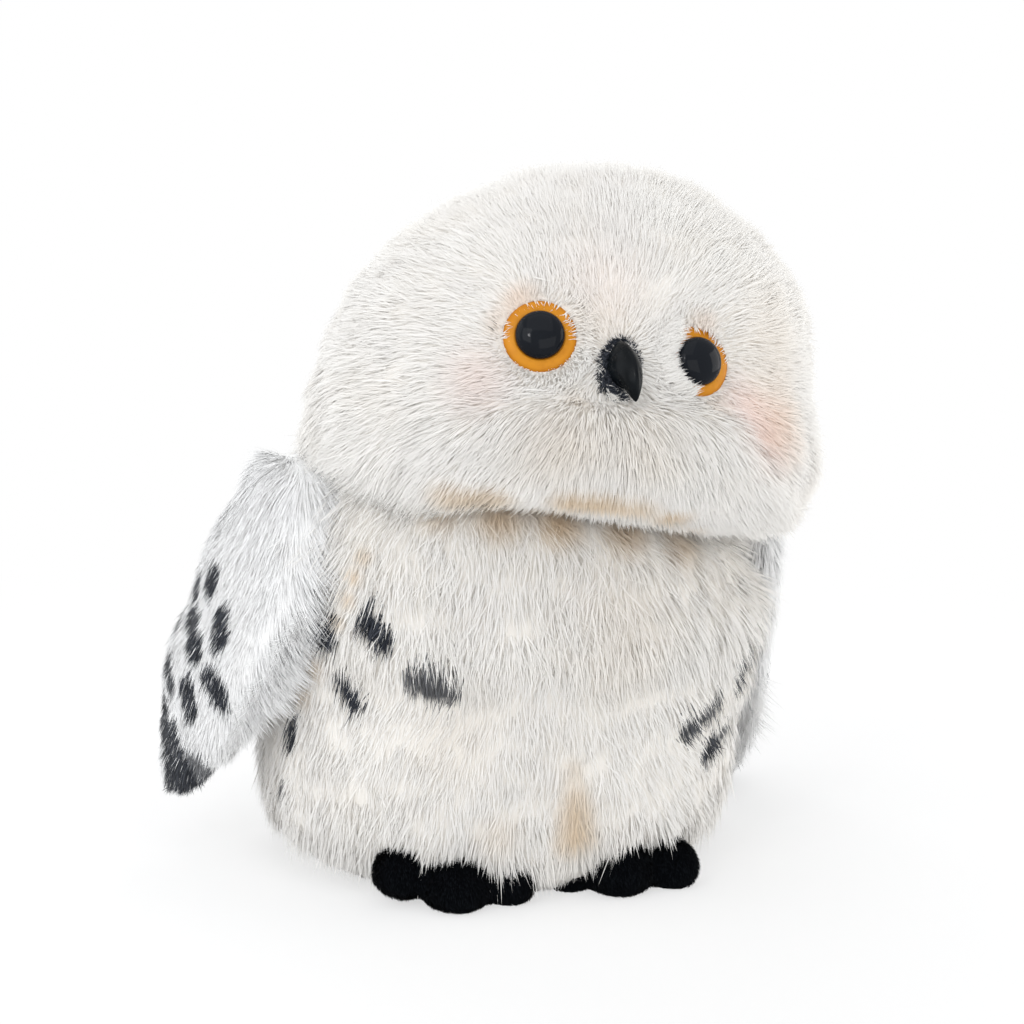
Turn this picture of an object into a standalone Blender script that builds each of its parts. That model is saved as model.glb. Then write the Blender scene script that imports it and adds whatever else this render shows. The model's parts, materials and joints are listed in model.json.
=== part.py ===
"""A seated plush snowy owl, about 25 cm tall, built as it is sewn and assembled.

The owl faces -Y, its own right wing is at -X, and it sits on the floor at Z = 0. Its fur skins are
shells as thick as the pressed pile, cut into sewn panels that close round stuffing. The eyes, the beak
and the head are held by plastic posts with washers, as on a soft toy.
"""

import math

import bmesh
import bpy
from mathutils import Matrix, Vector

MM = 0.001
DEGREE = math.pi / 180

# Fits
CLEARANCE = 0.3 * MM
SEAM_GAP = 0.3 * MM
CUT_OVERRUN = 20 * MM

# Skins: the thickness of the pile with its knitted backing
PILE = 6 * MM
ROUND_STEPS = 24
RING_STEPS = 16
FLAP_STEPS = 14
SEAT_STEPS = 8

# Body, from the floor to the top of the shoulders
BODY_HALF_WIDTH = 86 * MM
BODY_HALF_DEPTH = 79 * MM
BODY_HEIGHT = 130 * MM
BODY_CORE_RADIUS = 44 * MM
BASE_RADIUS = 58 * MM
NECK_HOLE_RADIUS = 13 * MM
LEAN = 9.5 * DEGREE
LEAN_DIRECTION = -10 * DEGREE
BODY_SEAM_Y = 14 * MM
# Radius between the base rim and the widest place, and height, as shares of the body's size
BODY_LOWER_SHARES = [(0.0, 0.0), (0.52, 0.026), (0.84, 0.105), (0.975, 0.22), (1.0, 0.37)]
# Radius between the neck hole and the widest place, and height, above the widest place
BODY_UPPER_SHARES = [(0.985, 0.54), (0.94, 0.69), (0.85, 0.80), (0.68, 0.89), (0.38, 0.958), (0.0, 1.0)]

# The thighs show as two soft bulges with a cleft between them
THIGH_BULGE = 4.5 * MM
THIGH_CLEFT = 3.5 * MM
THIGH_HEIGHT = 30 * MM
THIGH_RISE = 30 * MM
THIGH_ANGLE = 30 * DEGREE
THIGH_SPREAD = 18 * DEGREE
CLEFT_SPREAD = 9 * DEGREE

# Base cloth and the bag of pellets that keeps the owl upright
BASE_THICKNESS = 4 * MM
PELLET_RADIUS = 40 * MM
PELLET_HEIGHT = 14 * MM
PELLET_ROUNDING = 4 * MM

# Neck joint: a plastic disc in the body, another in the head, and the post that joins them
DISC_RADIUS = 21.9 * MM
DISC_THICKNESS = 3 * MM
POCKET_GAP = 0.7 * MM
DISC_DEPTH = 13 * MM
POST_RADIUS = 4 * MM
POST_TAIL = 8 * MM
NECK_GAP = 3 * MM
NECK_WASHER_RADIUS = 9 * MM
NECK_WASHER_THICKNESS = 1.2 * MM
LOCK_RING_RADIUS = 7 * MM
LOCK_RING_THICKNESS = 2 * MM
CORD_RADIUS = 0.8 * MM

# Head, measured up from its underside
HEAD_HALF_WIDTH = 87 * MM
HEAD_HALF_DEPTH = 76 * MM
HEAD_HEIGHT = 109 * MM
HEAD_CORE_RADIUS = 30 * MM
HEAD_FORWARD = 14 * MM
HEAD_ASIDE = 3 * MM
HEAD_TILT = 1 * DEGREE
HEAD_TURN = -5.5 * DEGREE
HEAD_SEAM_Y = -6 * MM
CHIN_SEAM_BELOW_PATCH = 4 * MM
CHIN_SEAM_DROP = 12 * DEGREE
# Radius between the post hole and the widest place, and height, as shares of the head's size
HEAD_SIDE_SHARES = [
    (0.0, 0.0), (0.32, -0.01), (0.62, -0.02), (0.84, 0.015), (0.955, 0.10), (1.0, 0.23),
    (0.975, 0.41), (0.895, 0.58), (0.755, 0.735), (0.555, 0.865), (0.30, 0.96), (0.0, 1.0),
]
RUFF_BULGE = 4 * MM
RUFF_HEIGHT = 27 * MM
RUFF_RISE = 16 * MM
RUFF_SPREAD = 75 * DEGREE
FACE_HOLLOW = 4 * MM
FACE_HEIGHT = 55 * MM
FACE_RISE = 20 * MM
FACE_SPREAD = 32 * DEGREE

# Eyes: an orange disc, a black dome whose stem goes through it, and a washer inside the head
EYE_HEIGHT = 56 * MM
EYE_ANGLE = 20 * DEGREE
IRIS_RADIUS = 12 * MM
IRIS_RIM = 1.9 * MM
IRIS_CROWN = 2.6 * MM
IRIS_BEVEL = 0.6 * MM
DOME_RADIUS = 8.1 * MM
DOME_HEIGHT = 4.4 * MM
DOME_EDGE = 0.5 * MM
STEM_RADIUS = 2.2 * MM
STEM_TAIL = 2.5 * MM
EYE_RECESS = 3.4 * MM
EYE_WASHER_RADIUS = 6.5 * MM
WASHER_THICKNESS = 1.4 * MM
WASHER_SEAT = 0.7 * MM

# Beak: a moulded hook on a patch of short black pile
BEAK_HEIGHT_UP = 49 * MM
BEAK_HALF_WIDTH = 5 * MM
BEAK_HALF_HEIGHT = 10.5 * MM
BEAK_REACH = 11 * MM
BEAK_HOOK = 7.5 * MM
BEAK_RIDGE_SHARE = 0.30
BEAK_RECESS = 1.6 * MM
PATCH_HALF_WIDTH = 6.6 * MM
PATCH_HALF_HEIGHT = 11.5 * MM
PATCH_THICKNESS = 1.2 * MM

# Wings: padded flaps sewn along their top edge to the shoulder
WING_LENGTH = 111 * MM
WING_ROOT_RADIUS = 11 * MM
WING_HALF_CHORD = 33 * MM
WING_SWEEP = 24 * MM
WING_SEAT_SHARE = 0.9
WING_SPLAY = 9 * DEGREE
WING_TWIST = 12 * DEGREE
WING_SWING = {"right": -6 * DEGREE, "left": 14 * DEGREE}
WING_PILE = 3.4 * MM
WING_BACK_SHIFT = 6 * MM
# Place along the length, half chord and half thickness, as shares
WING_BLADE_SHARES = [
    (0.16, 0.93, 1.0), (0.33, 1.0, 0.97), (0.50, 1.0, 0.88), (0.66, 0.94, 0.76), (0.80, 0.80, 0.62),
    (0.91, 0.57, 0.47), (0.975, 0.31, 0.30),
]
WING_ROOT_CHORD_SHARE = 0.78

# The pad in a flap ends this many pile thicknesses before the tip, where it is this share of one thick
PAD_END_SHARE = 4
PAD_EDGE_SHARE = 0.13

# Tail: a short padded flap at the back
TAIL_LENGTH = 46 * MM
TAIL_ROOT_RADIUS = 6 * MM
TAIL_HALF_CHORD = 25 * MM
TAIL_SEAT_SHARE = 0.43
TAIL_SPLAY = 20 * DEGREE
TAIL_PILE = 2.4 * MM
TAIL_BLADE_SHARES = [(0.2, 0.95, 1.0), (0.45, 1.0, 0.94), (0.70, 0.86, 0.80), (0.90, 0.52, 0.55)]
TAIL_ROOT_CHORD_SHARE = 0.82

# Feet: three stuffed toes each, of black short pile, on a flat sole
FOOT_ANGLE = 29.8 * DEGREE
FOOT_INSET = 17.7 * MM
FOOT_SEAT_HEIGHT = 8 * MM
FEET_ASIDE = -2 * MM
FEET_TURN = -12 * DEGREE
FOOT_SOLE = 1.6 * MM
FOOT_STEPS = 14
# Name, direction from the foot's middle, distance to the toe's middle, half width, half length, half height
TOES = [
    ("inner", 44 * DEGREE, 21 * MM, 9.5 * MM, 14 * MM, 9 * MM),
    ("middle", 0 * DEGREE, 19 * MM, 12.5 * MM, 16 * MM, 10.5 * MM),
    ("outer", -46 * DEGREE, 21 * MM, 9.5 * MM, 15 * MM, 9.5 * MM),
]
TOE_SINK_SHARE = 0.72
OUTER_TOE_LIFT = {"right": 4.5 * MM, "left": 0 * MM}

PARTS = "plush_owl"
CUTTERS = "cutters"

FUR_WHITE = (0.90, 0.89, 0.86)
FUR_CREAM = (0.88, 0.84, 0.77)
PILE_BLACK = (0.012, 0.012, 0.014)
PLASTIC_BLACK = (0.008, 0.009, 0.010)
IRIS_ORANGE = (0.80, 0.33, 0.015)
STUFFING_WHITE = (0.85, 0.85, 0.85)
JOINT_WHITE = (0.72, 0.72, 0.70)
PELLET_CLOTH = (0.70, 0.68, 0.62)
THREAD_WHITE = (0.80, 0.79, 0.76)


def clear_scene():
    for obj in list(bpy.data.objects):
        bpy.data.objects.remove(obj)


def collection(name):
    made = bpy.data.collections.new(name)
    bpy.context.scene.collection.children.link(made)
    return made


def material(name, colour, roughness):
    made = bpy.data.materials.new(name)
    made.use_nodes = True
    shader = made.node_tree.nodes["Principled BSDF"]
    shader.inputs["Base Color"].default_value = (*colour, 1)
    shader.inputs["Roughness"].default_value = roughness
    return made


def add_object(name, bm, group, finish=None, parent=None):
    """A mesh object from a bmesh, smooth shaded, in its parent's frame."""
    bm.normal_update()
    bmesh.ops.recalc_face_normals(bm, faces=bm.faces)
    if bm.calc_volume(signed=True) < 0:
        bmesh.ops.reverse_faces(bm, faces=bm.faces)
    mesh = bpy.data.meshes.new(name)
    bm.to_mesh(mesh)
    bm.free()
    mesh.shade_smooth()
    obj = bpy.data.objects.new(name, mesh)
    group.objects.link(obj)
    obj.parent = parent
    if finish:
        colour, roughness = finish
        mesh.materials.append(material(name, colour, roughness))
    else:
        obj.hide_render = True
        obj.display_type = "WIRE"
    return obj


def add_pivot(name, matrix, parent=None):
    empty = bpy.data.objects.new(name, None)
    bpy.context.scene.collection.objects.link(empty)
    empty.parent = parent
    empty.matrix_local = matrix
    return empty


def boolean(obj, other, operation="DIFFERENCE"):
    step = obj.modifiers.new(operation.lower(), "BOOLEAN")
    step.operation = operation
    step.object = other
    return step


def turned(outline, steps=ROUND_STEPS, place=None):
    """A turned solid from (radius, height) points, which run from axis to axis or else close as a ring."""
    bm = bmesh.new()
    corners = [bm.verts.new((r, 0, z)) for r, z in outline]
    edges = [bm.edges.new(pair) for pair in zip(corners, corners[1:])]
    if outline[0][0] > 0:
        edges.append(bm.edges.new((corners[-1], corners[0])))
    around = {"cent": (0, 0, 0), "axis": (0, 0, 1), "angle": 2 * math.pi, "steps": steps, "use_merge": True}
    bmesh.ops.spin(bm, geom=corners + edges, **around)
    bmesh.ops.remove_doubles(bm, verts=bm.verts, dist=CLEARANCE / 100)
    if place:
        for vert in bm.verts:
            vert.co = place(vert.co)
        # The same split of each warped face keeps nested surfaces apart
        bmesh.ops.triangulate(bm, faces=bm.faces, quad_method="SHORT_EDGE")
    return bm


def tube_outline(inside, outside, low, high):
    return [(inside, low), (outside, low), (outside, high), (inside, high)]


def box(low, high, matrix=None):
    bm = bmesh.new()
    size = Vector(high) - Vector(low)
    middle = (Vector(high) + Vector(low)) / 2
    bmesh.ops.create_cube(bm, size=1, matrix=Matrix.Translation(middle) @ Matrix.Diagonal((*size, 1)))
    if matrix:
        bmesh.ops.transform(bm, matrix=matrix, verts=bm.verts)
    return bm


def blend(x):
    x = min(1, max(0, x))
    return x * x * (3 - 2 * x)


def bump(x, width):
    return math.exp(-((x / width) ** 2))


def smooth_line(points, cuts):
    """Points of a Catmull-Rom curve through the given ones, with `cuts` spans between each pair."""
    line = []
    ends = [Vector(p) for p in [points[0], *points, points[-1]]]
    for a, b, c, d in zip(ends, ends[1:], ends[2:], ends[3:]):
        for i in range(cuts):
            t = i / cuts
            square = (2 * a - 5 * b + 4 * c - d) * t**2
            cube = (3 * (b - c) + d - a) * t**3
            line.append((2 * b + (c - a) * t + square + cube) / 2)
    line.append(ends[-1])
    return line


def inset_line(line, depth):
    """The profile moved by depth to its inner side, which is on the left of a line that climbs outside."""
    moved = []
    for i, (r, z) in enumerate(line):
        before, after = line[max(0, i - 1)], line[min(len(line) - 1, i + 1)]
        along = Vector((after[0] - before[0], after[1] - before[1])).normalized()
        if i == 0 or i == len(line) - 1:
            along = Vector((round(along.x), round(along.y)))
        moved.append((r - along.y * depth, z + along.x * depth))
    return moved


def frame_at(point, outward, up):
    """A matrix at point whose Z looks outward and whose Y is as near to up as it can be."""
    z = Vector(outward).normalized()
    x = Vector(up).cross(z).normalized()
    matrix = Matrix((x, z.cross(x), z)).transposed().to_4x4()
    matrix.translation = point
    return matrix


def flattened(y_share, radius, core, full):
    """The factor on Y that makes a round section an oval outside its core."""
    return 1 + (y_share - 1) * blend((radius - core) / (full - core))


# Body

def body_line():
    """The outer profile from the base rim to the neck hole."""
    line = []
    for edge, shares in ((BASE_RADIUS, BODY_LOWER_SHARES), (NECK_HOLE_RADIUS, BODY_UPPER_SHARES)):
        line += [(edge + (BODY_HALF_WIDTH - edge) * r, BODY_HEIGHT * z) for r, z in shares]
    return line


def lean_matrix(height):
    """The frame of the leaning spine at a height measured along it."""
    bend_radius = BODY_HEIGHT / LEAN
    angle = LEAN * height / BODY_HEIGHT
    middle = Vector((bend_radius * (1 - math.cos(angle)), 0, bend_radius * math.sin(angle)))
    way = Matrix.Rotation(LEAN_DIRECTION, 4, "Z")
    return way @ Matrix.Translation(middle) @ Matrix.Rotation(angle, 4, "Y") @ way.inverted()


def body_shape(point):
    """Carries a point of the round, upright body to the oval body with thighs, leaning to its left."""
    x, y, z = point
    radius = math.hypot(x, y)
    angle = abs(math.atan2(x, -y))
    low = bump(z - THIGH_HEIGHT, THIGH_RISE) * blend(z / THIGH_HEIGHT)
    swell = THIGH_BULGE * bump(angle - THIGH_ANGLE, THIGH_SPREAD) - THIGH_CLEFT * bump(angle, CLEFT_SPREAD)
    outside = blend((radius - BODY_CORE_RADIUS) / (BODY_HALF_WIDTH - BODY_CORE_RADIUS))
    grow = 1 + swell * low * outside / max(radius, BODY_CORE_RADIUS)
    depth = flattened(BODY_HALF_DEPTH / BODY_HALF_WIDTH, radius, BODY_CORE_RADIUS, BODY_HALF_WIDTH)
    return lean_matrix(z) @ Vector((x * grow, y * grow * depth, 0))


def flap_frame(share, side, turn, shift, sections):
    """A flap's hinge frame at a share of the body's height, out along side until the flap just clears."""
    frame = lean_matrix(share * BODY_HEIGHT) @ Matrix.Translation(shift)
    to_frame = frame.inverted()
    outline = body_line()
    points = []
    for (r0, z0), (r1, z1) in zip(outline, outline[1:]):
        for i in range(SEAT_STEPS):
            r = r0 + (r1 - r0) * i / SEAT_STEPS
            z = z0 + (z1 - z0) * i / SEAT_STEPS
            for j in range(ROUND_STEPS):
                angle = 2 * math.pi * j / ROUND_STEPS
                spot = Vector((r * math.cos(angle), r * math.sin(angle), z))
                if spot.dot(side) > 0:
                    points.append(to_frame @ body_shape(spot))

    def clears(reach):
        back = (Matrix.Translation(side * reach) @ turn).inverted()
        return not any(in_flap(sections, back @ point) for point in points)

    reach, step = 2 * BODY_HALF_WIDTH, PILE
    while step > CLEARANCE / SEAT_STEPS:
        if clears(reach - step):
            reach -= step
        else:
            step /= 2
    return frame @ Matrix.Translation(side * reach) @ turn


def in_flap(sections, point):
    """Whether a point in the frame of a flap's hinge is in the flap, or closer to it than the clearance."""
    for (s0, c0, m0, t0), (s1, c1, m1, t1) in zip(sections, sections[1:]):
        if s0 <= -point.z < s1:
            part = (-point.z - s0) / (s1 - s0)
            thick = t0 + (t1 - t0) * part + CLEARANCE
            chord = c0 + (c1 - c0) * part + CLEARANCE
            across = point.y - m0 - (m1 - m0) * part
            return (point.x / thick) ** 2 + (across / chord) ** 2 < 1
    return False


def make_body(parts, cutters):
    """The sewn skin, its base cloth, the stuffing and the pellet bag."""
    outer = body_line()
    inner = inset_line(outer, PILE)
    shell_outline = outer + inner[::-1]
    fur = (FUR_WHITE, 0.9)

    front = add_object(
        "cut_body_front",
        box(
            (-BODY_HALF_WIDTH - CUT_OVERRUN, -BODY_HALF_DEPTH - CUT_OVERRUN, -CUT_OVERRUN),
            (BODY_HALF_WIDTH + CUT_OVERRUN, BODY_SEAM_Y + SEAM_GAP / 2, BODY_HEIGHT + CUT_OVERRUN),
        ),
        cutters,
    )
    back = add_object(
        "cut_body_back",
        box(
            (-BODY_HALF_WIDTH - CUT_OVERRUN, BODY_SEAM_Y - SEAM_GAP / 2, -CUT_OVERRUN),
            (BODY_HALF_WIDTH + CUT_OVERRUN, BODY_HALF_DEPTH + CUT_OVERRUN, BODY_HEIGHT + CUT_OVERRUN),
        ),
        cutters,
    )
    spine = Matrix.Rotation(LEAN / 2, 4, "Y")
    halves = {}
    for name, side in (("right", -1), ("left", 1)):
        low_x, high_x = sorted((-side * SEAM_GAP / 2, side * (BODY_HALF_WIDTH + CUT_OVERRUN)))
        halves[name] = add_object(
            f"cut_body_{name}",
            box(
                (low_x, -BODY_HALF_DEPTH - CUT_OVERRUN, -CUT_OVERRUN),
                (high_x, BODY_HALF_DEPTH + CUT_OVERRUN, BODY_HEIGHT + CUT_OVERRUN),
                spine,
            ),
            cutters,
        )

    belly = add_object("belly_panel", turned(shell_outline, place=body_shape), parts, (FUR_CREAM, 0.9))
    boolean(belly, back)
    for name, other in (("right", "left"), ("left", "right")):
        panel = add_object(f"back_{name}_panel", turned(shell_outline, place=body_shape), parts, fur)
        boolean(panel, front)
        boolean(panel, halves[other])

    base_edge = BASE_RADIUS - CLEARANCE
    base = [(0, 0), (base_edge, 0), (base_edge, BASE_THICKNESS), (0, BASE_THICKNESS)]
    add_object("base_panel", turned(base, place=body_shape), parts, (PELLET_CLOTH, 0.95))

    floor = BASE_THICKNESS + CLEARANCE
    top = floor + PELLET_HEIGHT
    slant = PELLET_RADIUS - PELLET_ROUNDING
    bag = [
        (0, floor), (slant, floor), (PELLET_RADIUS, floor + PELLET_ROUNDING),
        (PELLET_RADIUS, top - PELLET_ROUNDING), (slant, top), (0, top),
    ]
    add_object("pellet_bag", turned(bag, place=body_shape), parts, (PELLET_CLOTH, 0.9))

    filling_side = inset_line(outer, PILE + CLEARANCE)
    pocket = PELLET_RADIUS + CLEARANCE
    filling = [(0, top + CLEARANCE), (pocket, top + CLEARANCE), (pocket, floor)]
    filling += [(base_edge - CLEARANCE, floor)]
    filling += filling_side
    filling += [(0, filling_side[-1][1])]
    stuffing = add_object("body_filling", turned(filling, place=body_shape), parts, (STUFFING_WHITE, 0.95))

    cavity = bmesh.new()
    bmesh.ops.create_uvsphere(cavity, u_segments=32, v_segments=16, radius=DISC_RADIUS + POCKET_GAP)
    hollow = add_object("cut_neck_pocket", cavity, cutters)
    hollow.matrix_world = lean_matrix(pivot_height())
    boolean(stuffing, hollow)

    ring = cord_ring(NECK_HOLE_RADIUS - CLEARANCE - CORD_RADIUS, BODY_HEIGHT - PILE / 2)
    add_object("body_gather_cord", turned(ring, place=body_shape), parts, (THREAD_WHITE, 0.8))


def cord_ring(radius, height, sides=6):
    """A ring of cord's outline."""
    turns = [2 * math.pi * i / sides for i in range(sides)]
    return [(radius + CORD_RADIUS * math.cos(a), height + CORD_RADIUS * math.sin(a)) for a in turns]


# Neck joint, in a frame whose origin is the lower disc's middle

def pivot_height():
    return BODY_HEIGHT - PILE - CLEARANCE - DISC_DEPTH


def head_floor():
    """Height of the head's underside above the neck pivot."""
    return BODY_HEIGHT - pivot_height() + NECK_GAP


def make_neck(parts, tilt_pivot, turn_pivot):
    plastic = (JOINT_WHITE, 0.4)
    half = DISC_THICKNESS / 2
    bore = POST_RADIUS + CLEARANCE
    lower = tube_outline(bore, DISC_RADIUS, -half, half)
    add_object("neck_lower_disc", turned(lower), parts, plastic, tilt_pivot)

    seat = head_floor() + PILE + CLEARANCE
    post = [
        (0, -POST_TAIL), (POST_RADIUS, -POST_TAIL), (POST_RADIUS, seat), (DISC_RADIUS, seat),
        (DISC_RADIUS, seat + DISC_THICKNESS), (0, seat + DISC_THICKNESS),
    ]
    add_object("neck_post", turned(post), parts, plastic, turn_pivot)

    washer_top = -half - CLEARANCE
    washer_low = washer_top - NECK_WASHER_THICKNESS
    washer = tube_outline(bore, NECK_WASHER_RADIUS, washer_low, washer_top)
    add_object("neck_washer", turned(washer, RING_STEPS), parts, plastic, turn_pivot)

    lock_top = washer_low - CLEARANCE
    lock = tube_outline(bore, LOCK_RING_RADIUS, lock_top - LOCK_RING_THICKNESS, lock_top)
    add_object("neck_lock_ring", turned(lock, RING_STEPS), parts, plastic, turn_pivot)

    ring = cord_ring(bore + CORD_RADIUS, head_floor() - CLEARANCE - CORD_RADIUS)
    add_object("head_gather_cord", turned(ring), parts, (THREAD_WHITE, 0.8), turn_pivot)


# Head

def head_line():
    """The outer profile from the post hole, out and up to the crown, in the neck pivot's frame."""
    hole = POST_RADIUS + CLEARANCE
    line = []
    for r, z in HEAD_SIDE_SHARES:
        inner_edge = hole if z < HEAD_SIDE_SHARES[-1][1] / 2 else 0
        line.append((inner_edge + (HEAD_HALF_WIDTH - inner_edge) * r, head_floor() + HEAD_HEIGHT * z))
    return line


def head_shape(point):
    """Carries a point of the round head to the oval head with its ruff and the hollow round the eyes."""
    x, y, z = point
    up = z - head_floor()
    radius = math.hypot(x, y)
    angle = abs(math.atan2(x, -y))
    outside = blend((radius - HEAD_CORE_RADIUS) / (HEAD_HALF_WIDTH - HEAD_CORE_RADIUS))
    ruff = RUFF_BULGE * bump(up - RUFF_HEIGHT, RUFF_RISE) * bump(angle, RUFF_SPREAD)
    hollow = FACE_HOLLOW * bump(up - FACE_HEIGHT, FACE_RISE) * bump(angle, FACE_SPREAD)
    grow = 1 + (ruff - hollow) * outside / max(radius, HEAD_CORE_RADIUS)
    depth = flattened(HEAD_HALF_DEPTH / HEAD_HALF_WIDTH, radius, HEAD_CORE_RADIUS, HEAD_HALF_WIDTH)
    moved = blend(outside + blend(up / HEAD_HEIGHT))
    return Vector((x * grow + HEAD_ASIDE * moved, y * grow * depth - HEAD_FORWARD * moved, z))


def head_place(up, angle):
    """The point on the head's front at a height and an angle from the middle, and the way that it faces."""
    line = smooth_line(head_line(), 8)

    def surface(height, turn):
        radius = max(r for r, z in line if abs(z - head_floor() - height) < HEAD_HEIGHT / len(line) * 2)
        return head_shape((radius * math.sin(turn), -radius * math.cos(turn), head_floor() + height))

    step_up, step_round = HEAD_HEIGHT / 8, FACE_SPREAD / 4
    point = surface(up, angle)
    rise = surface(up + step_up, angle) - surface(up - step_up, angle)
    across = surface(up, angle + step_round) - surface(up, angle - step_round)
    return point, across.cross(rise).normalized()


def make_head(parts, cutters, pivot):
    """The head's sewn panels and its stuffing."""
    outer = head_line()
    inner = inset_line(outer, PILE)
    shell_outline = inner[::-1] + outer
    floor = head_floor()
    wide = HEAD_HALF_WIDTH + CUT_OVERRUN
    low, high = floor - CUT_OVERRUN, floor + HEAD_HEIGHT + CUT_OVERRUN

    half_gap = SEAM_GAP / 2
    seam = floor + BEAK_HEIGHT_UP - PATCH_HALF_HEIGHT - CHIN_SEAM_BELOW_PATCH
    slope = Matrix.Translation((0, -HEAD_HALF_DEPTH, seam)) @ Matrix.Rotation(-CHIN_SEAM_DROP, 4, "X")
    boxes = {
        "front": box((-wide, -wide, low), (wide, HEAD_SEAM_Y + half_gap, high)),
        "back": box((-wide, HEAD_SEAM_Y - half_gap, low), (wide, wide, high)),
        "above": box((-wide, -wide, -half_gap), (wide, 2 * wide, high), slope),
        "below": box((-wide, -wide, -high), (wide, 2 * wide, half_gap), slope),
        "right": box((-wide, -wide, low), (half_gap, wide, high)),
        "left": box((-half_gap, -wide, low), (wide, wide, high)),
    }
    cutter = {name: add_object(f"cut_head_{name}", bm, cutters, None, pivot) for name, bm in boxes.items()}
    cuts = {
        "face_panel": ("back", "below"),
        "chin_ruff_panel": ("back", "above"),
        "crown_right_panel": ("front", "left"),
        "crown_left_panel": ("front", "right"),
    }
    for name, sides in cuts.items():
        panel = add_object(name, turned(shell_outline, place=head_shape), parts, (FUR_WHITE, 0.9), pivot)
        for side in sides:
            boolean(panel, cutter[side])

    filling_side = inset_line(outer, PILE + CLEARANCE)
    bottom = filling_side[0][1]
    pocket = DISC_RADIUS + CLEARANCE
    pocket_top = floor + PILE + CLEARANCE + DISC_THICKNESS + CLEARANCE
    filling = [(0, pocket_top), (pocket, pocket_top), (pocket, bottom)]
    filling += [(r, z) for r, z in filling_side if r > pocket + PILE or z > floor + HEAD_HEIGHT / 2]
    add_object("head_filling", turned(filling, place=head_shape), parts, (STUFFING_WHITE, 0.95), pivot)


def make_eyes_and_beak(parts, cutters, pivot):
    """The eyes and the beak, each with its recess in the face, its stem hole and its washer inside."""
    face = bpy.data.objects["face_panel"]
    stuffing = bpy.data.objects["head_filling"]
    hole = STEM_RADIUS + CLEARANCE

    def seat(name, frame, depth, wide, tall):
        """Cuts a recess with a stem hole, and a pocket for the washer behind the skin."""
        behind = PILE - depth
        recess = [
            (0, -behind - CUT_OVERRUN / 4), (hole, -behind - CUT_OVERRUN / 4), (hole, 0),
            (wide, 0), (wide, CUT_OVERRUN), (0, CUT_OVERRUN),
        ]
        bm = turned(recess)
        if tall != wide:
            for vert in bm.verts:
                if math.hypot(vert.co.x, vert.co.y) > hole * 2:
                    vert.co.y *= tall / wide
        cutter = add_object(f"cut_{name}_recess", bm, cutters, None, pivot)
        cutter.matrix_local = frame
        boolean(face, cutter)
        washer_top = -behind - WASHER_SEAT
        washer_low = washer_top - WASHER_THICKNESS
        end = washer_low - STEM_TAIL
        room = EYE_WASHER_RADIUS + CLEARANCE
        pocket = [(0, end - CLEARANCE), (room, end - CLEARANCE), (room, 0), (0, 0)]
        cutter = add_object(f"cut_{name}_pocket", turned(pocket, RING_STEPS), cutters, None, pivot)
        cutter.matrix_local = frame
        boolean(stuffing, cutter)
        washer = turned(tube_outline(hole, EYE_WASHER_RADIUS, washer_low, washer_top), RING_STEPS)
        made = add_object(f"{name}_washer", washer, parts, (JOINT_WHITE, 0.4), pivot)
        made.matrix_local = frame
        return end

    for name, side in (("right", -1), ("left", 1)):
        point, normal = head_place(EYE_HEIGHT, side * EYE_ANGLE)
        frame = frame_at(point - normal * EYE_RECESS, normal, (0, 0, 1))
        end = seat(f"{name}_eye", frame, EYE_RECESS, IRIS_RADIUS + CLEARANCE, IRIS_RADIUS + CLEARANCE)
        crown_radius = DOME_RADIUS + CLEARANCE
        iris = [
            (hole, CLEARANCE), (IRIS_RADIUS - IRIS_BEVEL, CLEARANCE), (IRIS_RADIUS, CLEARANCE + IRIS_BEVEL),
            (IRIS_RADIUS, IRIS_RIM - IRIS_BEVEL), (IRIS_RADIUS - IRIS_BEVEL, IRIS_RIM),
            (crown_radius, IRIS_CROWN), (hole, IRIS_CROWN),
        ]
        disc = add_object(f"{name}_iris_disc", turned(iris), parts, (IRIS_ORANGE, 0.35), pivot)
        disc.matrix_local = frame
        dome_floor = IRIS_CROWN + CLEARANCE
        arc = [90 * DEGREE * i / 5 for i in range(6)]
        dome = [(0, end), (STEM_RADIUS, end), (STEM_RADIUS, dome_floor), (DOME_RADIUS, dome_floor)]
        rise = DOME_HEIGHT - DOME_EDGE
        dome += [(DOME_RADIUS * math.cos(a), dome_floor + DOME_EDGE + rise * math.sin(a)) for a in arc[:-1]]
        dome += [(0, dome_floor + DOME_HEIGHT)]
        pupil = add_object(f"{name}_eye_dome", turned(dome), parts, (PLASTIC_BLACK, 0.08), pivot)
        pupil.matrix_local = frame

    point, normal = head_place(BEAK_HEIGHT_UP, 0)
    frame = frame_at(point - normal * BEAK_RECESS, normal, (0, 0, 1))
    end = seat("beak", frame, BEAK_RECESS, PATCH_HALF_WIDTH + CLEARANCE, PATCH_HALF_HEIGHT + CLEARANCE)
    bm = turned(tube_outline(hole, PATCH_HALF_WIDTH, 0, PATCH_THICKNESS))
    for vert in bm.verts:
        if math.hypot(vert.co.x, vert.co.y) > hole * 2:
            vert.co.y *= PATCH_HALF_HEIGHT / PATCH_HALF_WIDTH
        vert.co.z += CLEARANCE
    made = add_object("beak_patch", bm, parts, (PILE_BLACK, 0.95), pivot)
    made.matrix_local = frame
    make_beak(parts, cutters, pivot, frame, end)


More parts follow.
